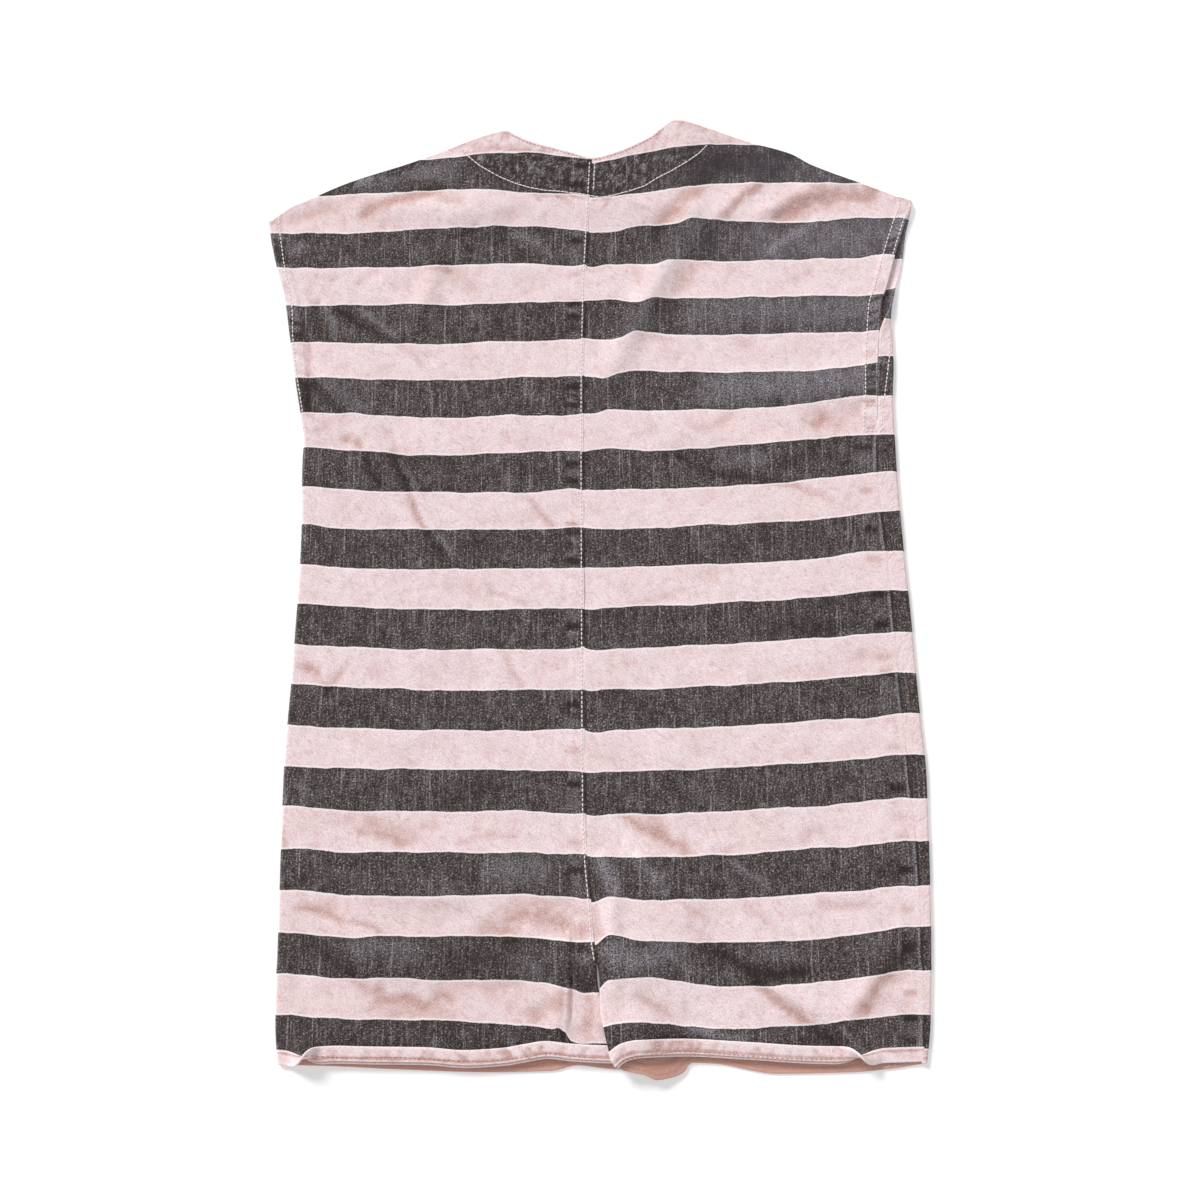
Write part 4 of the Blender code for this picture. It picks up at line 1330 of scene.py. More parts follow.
def shell_object(name: str, grid: dict[str, np.ndarray], wall: float, faces_up: bool,
                 outside_up: bool) -> bpy.types.Object:
    """Closed thin shell round a grid of middle points, with rounded rims.

    Args:
        name: piece's name.
        grid: arrays by name, as Panel.grid hands them back.
        wall: thickness of the single cloth.
        faces_up: whether the grid's own cross product points up.
        outside_up: whether the cloth's right side is the upper one.

    Returns:
        The new object, with the point attributes "cloth" (u, v and the side's mark) and "wear",
        rubbing with painted shade and highlight.
    """
    points = np.stack([grid["x"], grid["y"], grid["z"]], axis=-1)
    normal = unit(np.cross(slopes(points, 1), slopes(points, 0))) * (1 if faces_up else -1)
    # Right side first, then the wrong side: extra thickness, cloth coordinate and mark
    layers = [(grid["outside"], grid["v"], np.ones(grid["u"].shape)),
              (grid["inside"], grid["v_inside"], grid["mark_inside"])]
    above, below = layers if outside_up else layers[::-1]
    upper = points + normal * (wall / 2 + above[0])[..., None]
    lower = points - normal * (wall / 2 + below[0])[..., None]
    rows, columns = grid["x"].shape
    cloth = [np.stack([grid["u"], v, mark], axis=-1).reshape(-1, 3)
             for _, v, mark in (above, below)]
    wear_and_shading = [grid["wear_and_shading"].reshape(-1)] * 2
    verts = [upper.reshape(-1, 3), lower.reshape(-1, 3)]
    index = np.arange(rows * columns).reshape(rows, columns)
    quads = np.stack([index[:-1, :-1], index[:-1, 1:], index[1:, 1:], index[1:, :-1]], axis=-1)
    quads = quads.reshape(-1, 4)
    under = quads[:, ::-1] + rows * columns
    if not faces_up:
        quads, under = quads[:, ::-1], under[:, ::-1]
    rim = np.concatenate([index[0, :], index[1:, -1], index[-1, -2::-1], index[-2:0:-1, 0]])
    centre = (upper + lower).reshape(-1, 3)[rim] / 2
    half = (upper - lower).reshape(-1, 3)[rim] / 2
    ring = np.roll(centre, -1, axis=0) - np.roll(centre, 1, axis=0)
    out = unit(np.cross(ring, half)) * (1 if faces_up else -1)
    radius = np.linalg.norm(half, axis=1, keepdims=True) * RIM_BULGE
    rings = [rim]
    total = 2 * rows * columns
    for k in range(1, RIM_STEPS):
        angle = math.pi * k / RIM_STEPS
        verts.append(centre + half * math.cos(angle) + out * radius * math.sin(angle))
        source = cloth[0] if k <= RIM_STEPS // 2 else cloth[1]
        cloth.append(source[rim])
        wear_and_shading.append(wear_and_shading[0][rim])
        rings.append(total + np.arange(len(rim)))
        total += len(rim)
    rings.append(rim + rows * columns)
    sides = []
    for one, two in zip(rings, rings[1:]):
        strip = np.stack([one, two, np.roll(two, -1), np.roll(one, -1)], axis=-1)
        sides.append(strip if faces_up else strip[:, ::-1])
    faces = np.concatenate([quads, under] + sides)
    return mesh_object(name, np.concatenate(verts), faces, np.concatenate(cloth),
                       np.concatenate(wear_and_shading))


def mesh_object(name: str, verts: np.ndarray, faces: np.ndarray, cloth: np.ndarray | None = None,
                wear_and_shading: np.ndarray | None = None) -> bpy.types.Object:
    """Object from arrays, smooth shaded.

    Args:
        name: piece's name.
        verts: points in millimetres.
        faces: four corners for each face.
        cloth: cloth coordinates of the points, kept as the attribute "cloth".
        wear_and_shading: rubbing of the points with painted shade and highlight, kept as the
            attribute "wear".

    Returns:
        The new object, linked to the scene.
    """
    data = bpy.data.meshes.new(name)
    data.vertices.add(len(verts))
    data.vertices.foreach_set("co", (verts * MM).astype(np.float32).ravel())
    data.loops.add(faces.size)
    data.loops.foreach_set("vertex_index", faces.astype(np.int32).ravel())
    data.polygons.add(len(faces))
    corners = faces.shape[1]
    data.polygons.foreach_set("loop_start", np.arange(0, faces.size, corners, dtype=np.int32))
    data.polygons.foreach_set("loop_total", np.full(len(faces), corners, dtype=np.int32))
    data.update(calc_edges=True)
    data.validate()
    if cloth is not None:
        layer = data.attributes.new("cloth", "FLOAT_VECTOR", "POINT")
        layer.data.foreach_set("vector", cloth.astype(np.float32).ravel())
    if wear_and_shading is not None:
        layer = data.attributes.new("wear_and_shading", "FLOAT", "POINT")
        layer.data.foreach_set("value", wear_and_shading.astype(np.float32).ravel())
    data.shade_smooth()
    piece = bpy.data.objects.new(name, data)
    bpy.context.scene.collection.objects.link(piece)
    return piece


@dataclass
class Facing:
    """Curved strip inside the back neck, made from the back's own surface, moved down."""

    name: str = "neck_facing"
    columns: int = 90
    rows: int = 12
    end_clear: tuple[float, float] = (4.0, 2.0)     # left out at the left and right end
    top_clear: float = 3.0  # left out below the shoulder line
    least: float = 1.5      # least depth of the strip

    def build(self, backs: tuple[Panel, Panel]) -> bpy.types.Object:
        """Strip under the back neck.

        Args:
            backs: left and right back panels.

        Returns:
            The new piece.
        """
        left = FACING_LOW.rows[0][0] + self.end_clear[0]
        right = FACING_LOW.rows[-1][0] - self.end_clear[1]
        x, t = np.meshgrid(np.linspace(left, right, self.columns), np.linspace(0.0, 1.0, self.rows))
        low = FACING_LOW.at(x)
        deep = np.maximum(SHOULDER_LINE.at(x) - self.top_clear - low, self.least)
        y = low + deep * t
        is_left = x < BACK_SEAM.at(y)
        z = np.where(is_left, backs[0].relief(x, y)[0], backs[1].relief(x, y)[0]) + backs[0].mid
        z = z + neck_raise(x, y) - FACING_DROP
        v = np.where(is_left, stripe_place(x, y, -1), stripe_place(x, y, 1))
        zero = np.zeros(x.shape)
        grid = {"x": x, "y": y, "z": z, "u": x, "v": v, "v_inside": v, "outside": zero,
                "inside": zero, "wear_and_shading": zero, "mark_inside": zero - 1.0}
        return shell_object(self.name, grid, FACING_CLOTH, True, False)

    @staticmethod
    def dress(piece: bpy.types.Object, finish: bpy.types.Material) -> None:
        """Give the facing its cloth, tie it to the garment and hide the solid that it replaces.

        Args:
            piece: the facing as built.
            finish: its cloth.
        """
        piece.data.materials.append(finish)
        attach(piece, "root")
        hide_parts("back_neck_facing")
        LOG.info("%s: %d faces", piece.name, len(piece.data.polygons))


FLATTENED = 0.7             # height of a thread drawn tight, as a share of its width
RAY_HEIGHT = 0.1            # metres above the floor that stitches are dropped from


@dataclass(frozen=True)
class Stitching:
    """Row of stitches along a line seen from above, with thread that dips in between them."""

    name: str
    paths: tuple[tuple[tuple[float, float], ...], ...]
    pitch: float = 2.8
    stitch: float = 2.1
    radius: float = 0.4
    in_shaded_thread: bool = False   # thread coloured brown as painted shade of the stitch holes on the pink edge
    points: int = 5         # points along a stitch
    sides: int = 6          # sides round its thread
    place_wobble: float = 0.35
    length_wobble: float = 0.25

    def build(self, surface: BVHTree) -> bpy.types.Object:
        """Stitches laid on the cloth under the line.

        Args:
            surface: the garment's cloth.

        Returns:
            All of the line's stitches as one piece.
        """
        verts, faces = [], []
        for path in self.paths:
            points = np.array(path, float)
            gaps = np.hypot(*np.diff(points, axis=0).T)
            run = np.concatenate([[0.0], np.cumsum(gaps)])
            for k in range(int(run[-1] / self.pitch)):
                jitter = self.place_wobble * noise.noise((k * 1.7, points[0][0], 4.0))
                wobble = self.length_wobble * noise.noise((k * 0.9, points[0][1], 8.0))
                at = k * self.pitch + jitter + np.linspace(0.0, self.stitch * (1 + wobble),
                                                           self.points)
                line = np.stack([np.interp(at, run, points[:, axis]) for axis in (0, 1)], axis=-1)
                placed = [self.drop(surface, x, y) for x, y in line]
                if any(p is None for p in placed):
                    continue
                self.thread(np.array(placed), verts, faces)
        return mesh_object(self.name, np.array(verts), np.array(faces))

    @staticmethod
    def drop(surface: BVHTree, x: float, y: float) -> tuple[float, float, float] | None:
        """Highest point of the cloth at a place.

        Args:
            surface: the garment's cloth.
            x: place across.
            y: height.

        Returns:
            The point in millimetres, or None beside the cloth.
        """
        hit, *_ = surface.ray_cast(Vector((x * MM, y * MM, RAY_HEIGHT)), Vector((0, 0, -1)))
        return None if hit is None else (hit.x / MM, hit.y / MM, hit.z / MM)

    def thread(self, line: np.ndarray, verts: list, faces: list) -> None:
        """Add one stitch's tube, thin where it enters the cloth.

        Args:
            line: points on the cloth under the stitch.
            verts: points so far, which it adds to.
            faces: faces so far, which it adds to.
        """
        along = unit(np.gradient(line, axis=0))
        side = unit(np.cross(along, [0.0, 0.0, 1.0]))
        above = np.cross(side, along)
        first, sides = len(verts), self.sides
        last = first + (len(line) - 1) * sides
        for k, middle in enumerate(line):
            share = math.sin(math.pi * (k + 0.6) / (len(line) + 0.2))
            size = self.radius * (0.45 + 0.55 * share)
            sunk = middle + above[k] * (self.radius * (0.8 * share - 0.5))
            for s in range(sides):
                angle = 2 * math.pi * s / sides
                verts.append(sunk + side[k] * size * math.cos(angle)
                             + FLATTENED * above[k] * size * math.sin(angle))
        for k in range(len(line) - 1):
            for s in range(sides):
                a, b = first + k * sides + s, first + k * sides + (s + 1) % sides
                faces.append((a, b, b + sides, a + sides))
        for start, order in ((first, (0, 5, 4, 3)), (first, (0, 3, 2, 1)),
                             (last, (0, 1, 2, 3)), (last, (0, 3, 4, 5))):
            faces.append(tuple(start + k for k in order))

    @staticmethod
    def dress(piece: bpy.types.Object, finish: bpy.types.Material) -> None:
        """Give the stitches their thread and tie them to the garment.

        Args:
            piece: the stitches as built.
            finish: their thread.
        """
        piece.data.materials.append(finish)
        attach(piece, "root")
        LOG.info("%s: %d faces", piece.name, len(piece.data.polygons))


WHITE = "ffffff"


def linear(hex_colour: str) -> tuple[float, float, float, float]:
    """Linear colour of an sRGB hex value.

    Args:
        hex_colour: six hex digits.

    Returns:
        Red, green, blue and alpha.
    """
    parts = [int(hex_colour[k:k + 2], 16) / 255 for k in (0, 2, 4)]
    parts = [c / 12.92 if c <= 0.04045 else ((c + 0.055) / 1.055) ** 2.4 for c in parts]
    return (*parts, 1.0)


def add_node(tree: bpy.types.NodeTree, kind: str, links: dict | None = None, output: int = 0,
             **settings: object) -> bpy.types.NodeSocket:
    """Add a node with its settings, its inputs' values and its links.

    Args:
        tree: the material's tree.
        kind: node type without its ShaderNode prefix.
        links: input name or number to a value, or to the output socket linked there.
        output: number of the output to hand back.
        settings: properties of the node.

    Returns:
        That output of the new node.
    """
    node = tree.nodes.new(f"ShaderNode{kind}")
    for name, value in settings.items():
        setattr(node, name, value)
    for key, value in (links or {}).items():
        if isinstance(value, bpy.types.NodeSocket):
            tree.links.new(value, node.inputs[key])
        else:
            node.inputs[key].default_value = value
    return node.outputs[output]


@dataclass(frozen=True)
class StripedTwill:
    """Washed cotton twill, yarn-dyed in wide stripes.

    The dark stripes mix charcoal with pale yarn, so they look speckled, with thin pale slubs
    along the warp; the pink ones are nearly even, with painted brown shade in the folds. Cloth
    coordinates are millimetres, so a noise scale of 1.0 makes cells of about 1 mm. Inputs go by
    number: 0 to 2 are the terms of Math, 0 to 4 the value and both ranges of MapRange, and 0, 6
    and 7 the share and both colours of Mix.
    """

    name: str = "striped_cotton_twill"
    dark_yarn: str = "241b19"
    dark_pale: str = "6e615f"
    pale_yarn: str = "b8afb2"
    # Pale bluish grey for rubbing and painted highlight on the dark stripes' ridges
    rubbed_and_highlight_yarn: str = "b2b0b9"
    pink: str = "faeaef"
    pink_shade: str = "d8aea8"
    pink_pale: str = "fff7f9"
    # Pink in painted shade, for the folds and hollows
    pink_fold_shade: str = "bf9083"
    cool_grey: str = "a09fb2"
    # Wrong side: partly its own duller colour, partly painted shade under the rolled hems
    inside: str = "c98f78"
    roughness: float = 0.92
    sheen: float = 0.1

    def build(self) -> bpy.types.Material:
        """Material with the cloth's own coordinates, in millimetres.

        Returns:
            The new material.
        """
        material = bpy.data.materials.new(self.name)
        material.use_nodes = True
        tree = material.node_tree
        shader = tree.nodes["Principled BSDF"]
        add = partial(add_node, tree)
        cloth = add("Attribute", output=1, attribute_name="cloth")
        wear_and_shading = add("Attribute", output=2, attribute_name="wear_and_shading")
        place = add("SeparateXYZ", {0: cloth}).node.outputs
        # Rubbing and painted highlight on ridges, painted shade in hollows and along seams, from
        # the point attribute
        rubbed_and_highlight = add("MapRange", {0: wear_and_shading, 1: 0.0, 2: 1.0})
        painted_shade = add("MapRange", {0: wear_and_shading, 1: 0.0, 2: -1.0})

        # Stripes of 25 mm along the length; yarns near 0.6 mm leave the edge a little uneven
        across = add("VectorMath", {0: cloth, 1: (1.6, 0.05, 0.0)}, operation="MULTIPLY")
        uneven = add("TexNoise", {"Vector": across, "Scale": 1.0, "Detail": 3.0})
        uneven = add("Math", {0: uneven, 1: 0.9, 2: STRIPE / 2 - 0.45}, operation="MULTIPLY_ADD")
        wave = add("Math", {0: place[1], 1: uneven}, operation="ADD")
        wave = add("Math", {0: wave, 1: STRIPE}, operation="PINGPONG")
        is_dark = add("MapRange", {0: wave, 1: STRIPE / 2 - 0.22, 2: STRIPE / 2 + 0.22})
        dark_rim = add("MapRange", {0: wave, 1: STRIPE / 2 + 0.9, 2: STRIPE / 2 + 0.2, 4: 0.55})
        pale_rim = add("MapRange", {0: wave, 1: STRIPE / 2 - 1.5, 2: STRIPE / 2 - 0.6, 4: 0.7})

        # Twill: flecks near 1.1 by 4.4 mm along its lines, which run down to the right; the
        # real lines are finer, and are drawn as coarse as they need to show
        lean = add("Math", {0: place[0], 1: place[1]}, operation="SUBTRACT")
        run = add("Math", {0: place[0], 1: place[1]}, operation="ADD")
        twill = add("CombineXYZ", {0: add("Math", {0: lean, 1: 0.62}, operation="MULTIPLY"),
                                   1: add("Math", {0: run, 1: 0.16}, operation="MULTIPLY")})
        twill = add("TexNoise", {"Vector": twill, "Scale": 1.0, "Detail": 2.0, "Roughness": 0.6})
        twill = add("MapRange", {0: twill, 1: 0.44, 2: 0.64})

        # Crinkles that stay in washed cotton, near 2.9 by 6.4 mm and longer on the bias; they bump
        # the cloth, and painted shade browns their hollows on the pink
        crinkle = add("CombineXYZ", {0: add("Math", {0: lean, 1: 0.24}, operation="MULTIPLY"),
                                     1: add("Math", {0: run, 1: 0.11}, operation="MULTIPLY")})
        crinkle = add("TexNoise", {"Vector": crinkle, "Scale": 1.0, "Detail": 3.5,
                                   "Roughness": 0.62, "Distortion": 0.7})
        crinkle_shade = add("MapRange", {0: crinkle, 1: 0.45, 2: 0.30, 4: 0.5})

        # Dark stripes turn cooler and paler towards the right shoulder; both kinds darker towards
        # the left hem
        cooled = add("Math", {0: add("MapRange", {0: place[1], 1: 200.0, 2: 60.0}),
                              1: add("MapRange", {0: place[0], 1: 20.0, 2: 170.0, 4: 0.12})},
                     operation="MULTIPLY")
        deeper = add("Math", {0: add("MapRange", {0: place[1], 1: 450.0, 2: 570.0}),
                              1: add("MapRange", {0: place[0], 1: 30.0, 2: -60.0, 4: 0.13})},
                     operation="MULTIPLY")

        # Dark yarn: speckle and flecks near 1 mm, drawn a little coarser than the real thread,
        # clouds near 4 mm, streaks near 1 by 12 mm and slubs near 1.2 by 45 mm down the warp
        speck = add("TexNoise", {"Vector": cloth, "Scale": 1.05, "Detail": 2.0, "Roughness": 0.75})
        speck = add("MapRange", {0: speck, 1: 0.40, 2: 0.62})
        fleck = add("TexNoise", {"Vector": cloth, "Scale": 0.93, "Detail": 1.0})
        fleck = add("MapRange", {0: fleck, 1: 0.57, 2: 0.69, 4: 0.75})
        cloud = add("TexNoise", {"Vector": cloth, "Scale": 0.27, "Detail": 3.0, "Roughness": 0.65})
        cloud = add("MapRange", {0: cloud, 1: 0.38, 2: 0.66, 4: 0.6})
        streak = add("VectorMath", {0: cloth, 1: (0.9, 0.08, 0.3)}, operation="MULTIPLY")
        streak = add("TexNoise", {"Vector": streak, "Scale": 1.0, "Detail": 2.0, "Roughness": 0.6})
        pale_streak = add("MapRange", {0: streak, 1: 0.54, 2: 0.74, 4: 0.3})
        dark_streak = add("MapRange", {0: streak, 1: 0.48, 2: 0.30, 4: 0.4})
        slub = add("VectorMath", {0: cloth, 1: (0.8, 0.022, 0.3)}, operation="MULTIPLY")
        slub = add("TexNoise", {"Vector": slub, "Scale": 1.0, "Detail": 1.5})
        slub = add("MapRange", {0: slub, 1: 0.63, 2: 0.70, 4: 0.7})
        slub = add("Math", {0: slub, 1: speck}, operation="MULTIPLY")
        # Rubbing and painted highlight pale the dark ridges; painted shade darkens the hollows
        lit = add("MapRange", {0: speck, 3: 0.03, 4: 0.80})
        lit = add("Math", {0: rubbed_and_highlight, 1: lit}, operation="MULTIPLY")
        deep = add("Math", {0: painted_shade, 1: 0.8}, operation="MULTIPLY")
        dark_coats = (
            (speck, self.dark_pale), (fleck, self.pale_yarn), (pale_streak, self.pale_yarn),
            (dark_streak, self.dark_yarn), (cloud, self.dark_yarn), (slub, self.pale_yarn),
            (lit, self.rubbed_and_highlight_yarn), (deep, self.dark_yarn), (deeper, self.dark_yarn),
            (cooled, self.cool_grey), (dark_rim, self.dark_yarn),
        )

        # Pink yarn: nearly even, browner in patches near 25 mm, with painted shade in the folds and
        # crinkles, painted highlight and rubbing on ridges, and paler beside each dark stripe
        soft = add("TexNoise", {"Vector": cloth, "Scale": 0.04, "Detail": 5.0, "Roughness": 0.6})
        soft = add("MapRange", {0: soft, 1: 0.44, 2: 0.72, 4: 0.24})
        grain = add("MapRange", {0: speck, 4: 0.42})
        flecks = add("MapRange", {0: cloud, 1: 0.1, 2: 0.5, 3: 0.12, 4: 0.44})
        flecks = add("Math", {0: flecks, 1: twill}, operation="MULTIPLY")
        # Painted shade, brown in the folds and hollows, broken up by the speckle
        fold_shade = add("MapRange", {0: speck, 3: 0.58, 4: 1.0})
        fold_shade = add("Math", {0: fold_shade, 1: painted_shade}, operation="MULTIPLY", use_clamp=True)
        # Rubbing and painted highlight, paler on the ridges
        washed_and_highlight = add("Math", {0: rubbed_and_highlight, 1: 0.5}, operation="MULTIPLY")
        pink_coats = (
            (soft, self.pink_shade), (grain, self.pink_shade), (flecks, self.pink_shade),
            (crinkle_shade, self.pink_shade), (deeper, self.pink_shade), (washed_and_highlight, self.pink_pale),
            (fold_shade, self.pink_fold_shade), (pale_rim, self.pink_pale),
        )

        # Each coat covers its share of what lies under it
        sides = []
        for base, coats in ((self.pink, pink_coats), (self.dark_yarn, dark_coats)):
            under = linear(base)
            for share, colour in coats:
                under = add("Mix", {0: share, 6: under, 7: linear(colour)}, 2, data_type="RGBA")
            sides.append(under)
        colour = add("Mix", {0: is_dark, 6: sides[0], 7: sides[1]}, 2, data_type="RGBA")

        # The wrong side is duller and browner: partly its own less faded colour, partly painted
        # shade where it lies under the rolled hems
        wrong = add("MapRange", {0: place[2], 1: 0.2, 2: -0.2, 4: 0.75})
        colour = add("Mix", {0: wrong, 6: colour, 7: linear(self.inside)}, 2, data_type="RGBA")
        tree.links.new(colour, shader.inputs["Base Color"])
        shader.inputs["Roughness"].default_value = self.roughness
        shader.inputs["Metallic"].default_value = 0.0
        shader.inputs["IOR"].default_value = 1.5
        shader.inputs["Specular IOR Level"].default_value = 0.25
        shader.inputs["Sheen Weight"].default_value = self.sheen
        shader.inputs["Sheen Roughness"].default_value = 0.5

        # Fine dents of washed cloth near 6 mm, with the yarn's own grain on them
        dents = add("TexNoise", {"Vector": cloth, "Scale": 0.16, "Detail": 4.0, "Roughness": 0.6})
        height = add("Math", {0: twill, 1: 0.08}, operation="MULTIPLY")
        height = add("Math", {0: speck, 1: 0.16, 2: height}, operation="MULTIPLY_ADD")
        height = add("Math", {0: dents, 1: 0.6, 2: height}, operation="MULTIPLY_ADD")
        height = add("Math", {0: crinkle, 1: 0.9, 2: height}, operation="MULTIPLY_ADD")
        bump = add("Bump", {"Strength": 0.7, "Distance": MM, "Height": height})
        tree.links.new(bump, shader.inputs["Normal"])
        return material


@dataclass(frozen=True)
class SewingThread:
    """Spun polyester sewing thread, matt; the plies just show as a change of tone."""

    name: str = "sewing_thread"
    colour: str = "f7efee"
    shade: str = "e6d9d6"

    def build(self) -> bpy.types.Material:
        """Thread with its plies just told apart.

        Returns:
            The new material.
        """
        material = bpy.data.materials.new(self.name)
        material.use_nodes = True
        tree = material.node_tree
        shader = tree.nodes["Principled BSDF"]
        place = add_node(tree, "TexCoord", output=3)
        # Coordinates are metres here: plies near 0.45 mm, coarser than real ones
        plies = add_node(tree, "TexNoise", {"Vector": place, "Scale": 2200.0, "Detail": 2.0})
        ends = {0: plies, 6: linear(self.colour), 7: linear(self.shade)}
        colour = add_node(tree, "Mix", ends, 2, data_type="RGBA")
        tree.links.new(colour, shader.inputs["Base Color"])
        shader.inputs["Roughness"].default_value = 0.7
        shader.inputs["Metallic"].default_value = 0.0
        bump = add_node(tree, "Bump", {"Strength": 0.4, "Distance": 0.0001, "Height": plies})
        tree.links.new(bump, shader.inputs["Normal"])
        return material


@dataclass(frozen=True)
class Lamp:
    """Broad far light, like a large window."""

    name: str
    bearing: float          # degrees round from +X that it comes from
    height: float           # degrees above the floor
    spread: float           # degrees that it fills
    strength: float         # power on a surface that faces it

    def build(self) -> None:
        """Hang the light."""
        light = bpy.data.lights.new(self.name, "SUN")
        light.angle = math.radians(self.spread)
        light.energy = self.strength
        holder = bpy.data.objects.new(self.name, light)
        turn, rise = math.radians(self.bearing), math.radians(self.height)
        toward = Vector((math.cos(turn) * math.cos(rise), math.sin(turn) * math.cos(rise),
                         math.sin(rise)))
        holder.rotation_euler = toward.to_track_quat("Z", "Y").to_euler()
        bpy.context.scene.collection.objects.link(holder)


@dataclass(frozen=True)
class BackdropPaper:
    """Matt white paper on a light table, whose glow keeps its shadows pale."""

    name: str = "backdrop_paper"
    white: float = 0.98
    roughness: float = 0.95
    glow: float = 0.17

    def build(self) -> bpy.types.Material:
        """Even white paper.

        Returns:
            The new material.
        """
        material = bpy.data.materials.new(self.name)
        material.use_nodes = True
        shader = material.node_tree.nodes["Principled BSDF"]
        shader.inputs["Base Color"].default_value = (self.white, self.white, self.white, 1.0)
        shader.inputs["Roughness"].default_value = self.roughness
        shader.inputs["Emission Color"].default_value = linear(WHITE)
        shader.inputs["Emission Strength"].default_value = self.glow
        return material


@dataclass
class Studio:
    """Pale floor, soft light and the camera above the garment."""

    aim: tuple[float, float, float] = (5.8, -18.8, 0.0)
    distance: float = 961.0
    tilt: float = math.radians(12)
    lens: float = 46.88
    sensor: float = 36.0
    daylight: float = 0.42      # strength of the light from all round
    floor_half: float = 4000.0
    floor_drop: float = 0.05    # keeps the floor clear of the cloth
    lamps: tuple[Lamp, ...] = (
        Lamp("key", 132.0, 34.0, 22.0, 2.75), Lamp("fill", -60.0, 62.0, 60.0, 0.35),
    )

    def build(self) -> None:
        """Make the floor, the lights and the camera."""
        scene = bpy.context.scene
        scene.view_settings.view_transform = "Standard"
        world = bpy.data.worlds.new("studio")
        world.use_nodes = True
        sky = world.node_tree.nodes["Background"]
        sky.inputs["Color"].default_value = linear(WHITE)
        sky.inputs["Strength"].default_value = self.daylight
        scene.world = world
        corners = np.array([(-1, -1, 0), (1, -1, 0), (1, 1, 0), (-1, 1, 0)], float)
        corners = corners * self.floor_half - [0, 0, self.floor_drop]
        floor = mesh_object("floor", corners, np.array([(0, 1, 2, 3)]))
        floor.data.materials.append(BackdropPaper().build())
        for lamp in self.lamps:
            lamp.build()
        camera = bpy.data.cameras.new("camera")
        camera.sensor_width = self.sensor
        camera.lens = self.lens
        camera.clip_end = 10.0
        away = Vector((0, -math.sin(self.tilt), math.cos(self.tilt)))
        holder = bpy.data.objects.new("camera", camera)
        holder.location = (Vector(self.aim) + self.distance * away) * MM
        holder.rotation_euler = (self.tilt, 0.0, 0.0)
        scene.collection.objects.link(holder)
        scene.camera = holder


# Width of the left armhole's hem that shows, as it rolls under: (y, width)
LEFT_HEM_SHOWS = Profile((
    (99, 1.2), (127, 1.1), (150, 1.6), (168, 3.2), (190, 4.1), (214, 5.7), (236, 6.5),
))


# Other rows of stitches, as (x, y)
FRONT_EDGE_ROW = ((189.6, 150), (189.2, 138), (187.4, 126), (185.2, 112), (183.4, 106))
TACK_ROW = ((172.2, 106), (183, 106), (182.8, 89), (171.4, 89), (172.2, 106))
FACING_ROW = (
    (-80.1, 275.7), (-72.2, 268.6), (-63, 262.9), (-57.8, 260.1), (-48.7, 255.9), (-40.2, 253.1),
    (-29.8, 251), (-18.8, 250.3), (-7.1, 248.9), (5.8, 246.1), (14.9, 247.8), (25.9, 251),
    (35, 254.5), (43.4, 260.1), (52.6, 265.1), (61.1, 270.7), (70.3, 277.8), (76.9, 284.9),
)
LEFT_HEM_ROW = (
    (-166, -287.6), (-154, -288.6), (-140, -289.4), (-124, -289.0), (-109, -289.0),
    (-95.5, -289.6), (-70.7, -291.4), (-56.3, -291.2), (-43, -289.6), (-32, -288.0),
    (-23.6, -286.6), (-9.7, -288.4), (6, -289.8),
)
RIGHT_HEM_ROW = (
    (17.9, -290.6), (28.0, -288.2), (39.7, -286.6), (51.2, -285.5), (68, -286.4), (89.7, -288.2),
    (110, -289.6), (126.4, -290.2), (142, -290.4),
)


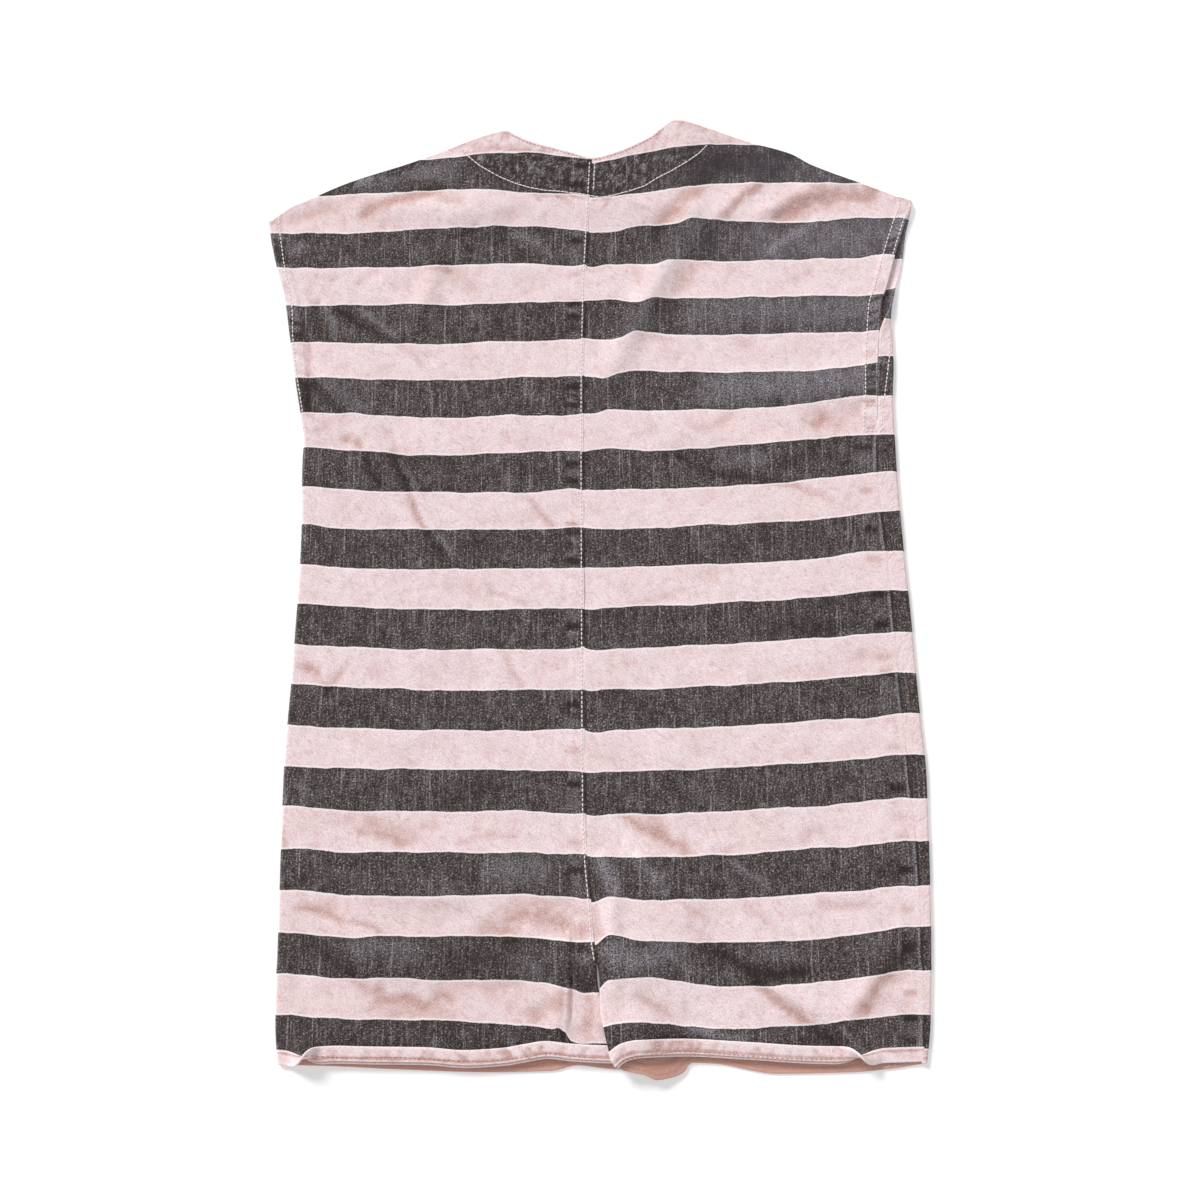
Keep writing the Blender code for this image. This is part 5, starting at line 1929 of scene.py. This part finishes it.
@dataclass
class Sewing:
    """Every row of stitches that shows on the upper side."""

    centre_offset: float = 1.5
    second_offset: float = 1.9
    hem_offset: float = 7.3
    edge_offset: float = 1.0
    neck_offset: float = 1.4

    @staticmethod
    def beside(edge: Profile, shift: float, start: float, end: float,
               count: int) -> tuple[tuple[float, float], ...]:
        """Line beside an upright edge or seam.

        Args:
            edge: the edge, as rows of (y, x).
            shift: how far to its right the line runs; below 0 for its left.
            start: height where the line begins.
            end: height where it ends.
            count: points on it.

        Returns:
            The points, as (x, y).
        """
        heights = np.linspace(start, end, count)
        return tuple(zip(edge.at(heights) + shift, heights))

    def lines(self) -> list[Stitching]:
        """Stitch rows by name.

        Returns:
            The rows, each with the lines that it follows.
        """
        centre = self.beside(BACK_SEAM, -self.centre_offset, 271.0, -238.0, 180)
        second = self.beside(BACK_SEAM, self.second_offset, 271.0, 251.0, 12)
        left = np.linspace(236.0, 99.0, 60)
        armhole_left = tuple(zip(LEFT_EDGE.at(left) + LEFT_HEM_SHOWS.at(left), left))
        armhole_right = self.beside(SIDE_SEAM, -self.hem_offset, 246.0, 108.0, 60)
        edge_right = self.beside(SIDE_SEAM, -self.edge_offset, 241.0, 203.0, 20)
        across = np.linspace(-52.0, 50.0, 80)
        neck = tuple(zip(across, SHOULDER_LINE.at(across) - self.neck_offset))
        armholes = (armhole_left, armhole_right, edge_right, FRONT_EDGE_ROW, TACK_ROW)
        hems = (LEFT_HEM_ROW, RIGHT_HEM_ROW)
        return [
            Stitching("topstitch_centre", (centre, second)),
            Stitching("topstitch_armholes", armholes),
            Stitching("topstitch_neck_edge", (neck,), 2.6, 1.7, 0.24, in_shaded_thread=True),
            Stitching("topstitch_facing", (FACING_ROW,), stitch=2.75),
            Stitching("topstitch_hems", hems, 2.8, 1.9, 0.24, in_shaded_thread=True),
        ]


@dataclass
class Romper:
    """The whole garment: panels, facing and sewing."""

    back_pitch: float = 1.95
    front_pitch: float = 3.2

    def panels(self) -> list[Panel]:
        """The four panels, the backs first.

        Returns:
            Left and right back, then left and right front.
        """
        back = ("back_cloth", Layer.BACK, self.back_pitch)
        front = ("front_cloth", Layer.FRONT, self.front_pitch)
        rows = (
            ("back_left", Half.LEFT, back, (0.210, 0.600), 0.114),
            ("back_right", Half.RIGHT, back, (0.212, 0.606), 0.116),
            ("front_left", Half.LEFT, front, (0.210, 0.600), 0.112),
            ("front_right", Half.RIGHT, front, (0.226, 0.604), 0.122),
        )
        return [Panel(f"{node}_panel", node, slot, half, layer, pitch, cut, area)
                for node, half, (slot, layer, pitch), cut, area in rows]

    def build(self) -> None:
        """Build and dress every piece."""
        twill, thread = StripedTwill().build(), SewingThread().build()
        # Brown thread as painted shade of the stitch holes
        shaded_thread = SewingThread("thread_with_painted_shade", "c48f80", "a87566").build()
        panels = self.panels()
        made = [panel.build() for panel in panels]
        for panel, piece in zip(panels, made):
            panel.dress(piece, twill)
        strip = Facing()
        facing = strip.build((panels[0], panels[1]))
        strip.dress(facing, twill)
        surface = self.surface(made)
        for row in Sewing().lines():
            piece = row.build(surface)
            row.dress(piece, shaded_thread if row.in_shaded_thread else thread)

    @staticmethod
    def surface(pieces: list[bpy.types.Object]) -> BVHTree:
        """Search tree over the faces of some pieces.

        Args:
            pieces: panels of cloth.

        Returns:
            Tree in metres.
        """
        verts, faces = [], []
        for piece in pieces:
            first = len(verts)
            verts += [v.co.copy() for v in piece.data.vertices]
            faces += [tuple(first + k for k in p.vertices) for p in piece.data.polygons]
        return BVHTree.FromPolygons(verts, faces)


def main() -> None:
    """Build the garment and its studio in order."""
    logging.basicConfig(level=logging.INFO, format="%(name)s %(message)s")
    Studio().build()
    Romper().build()


if __name__ == "__main__":
    main()
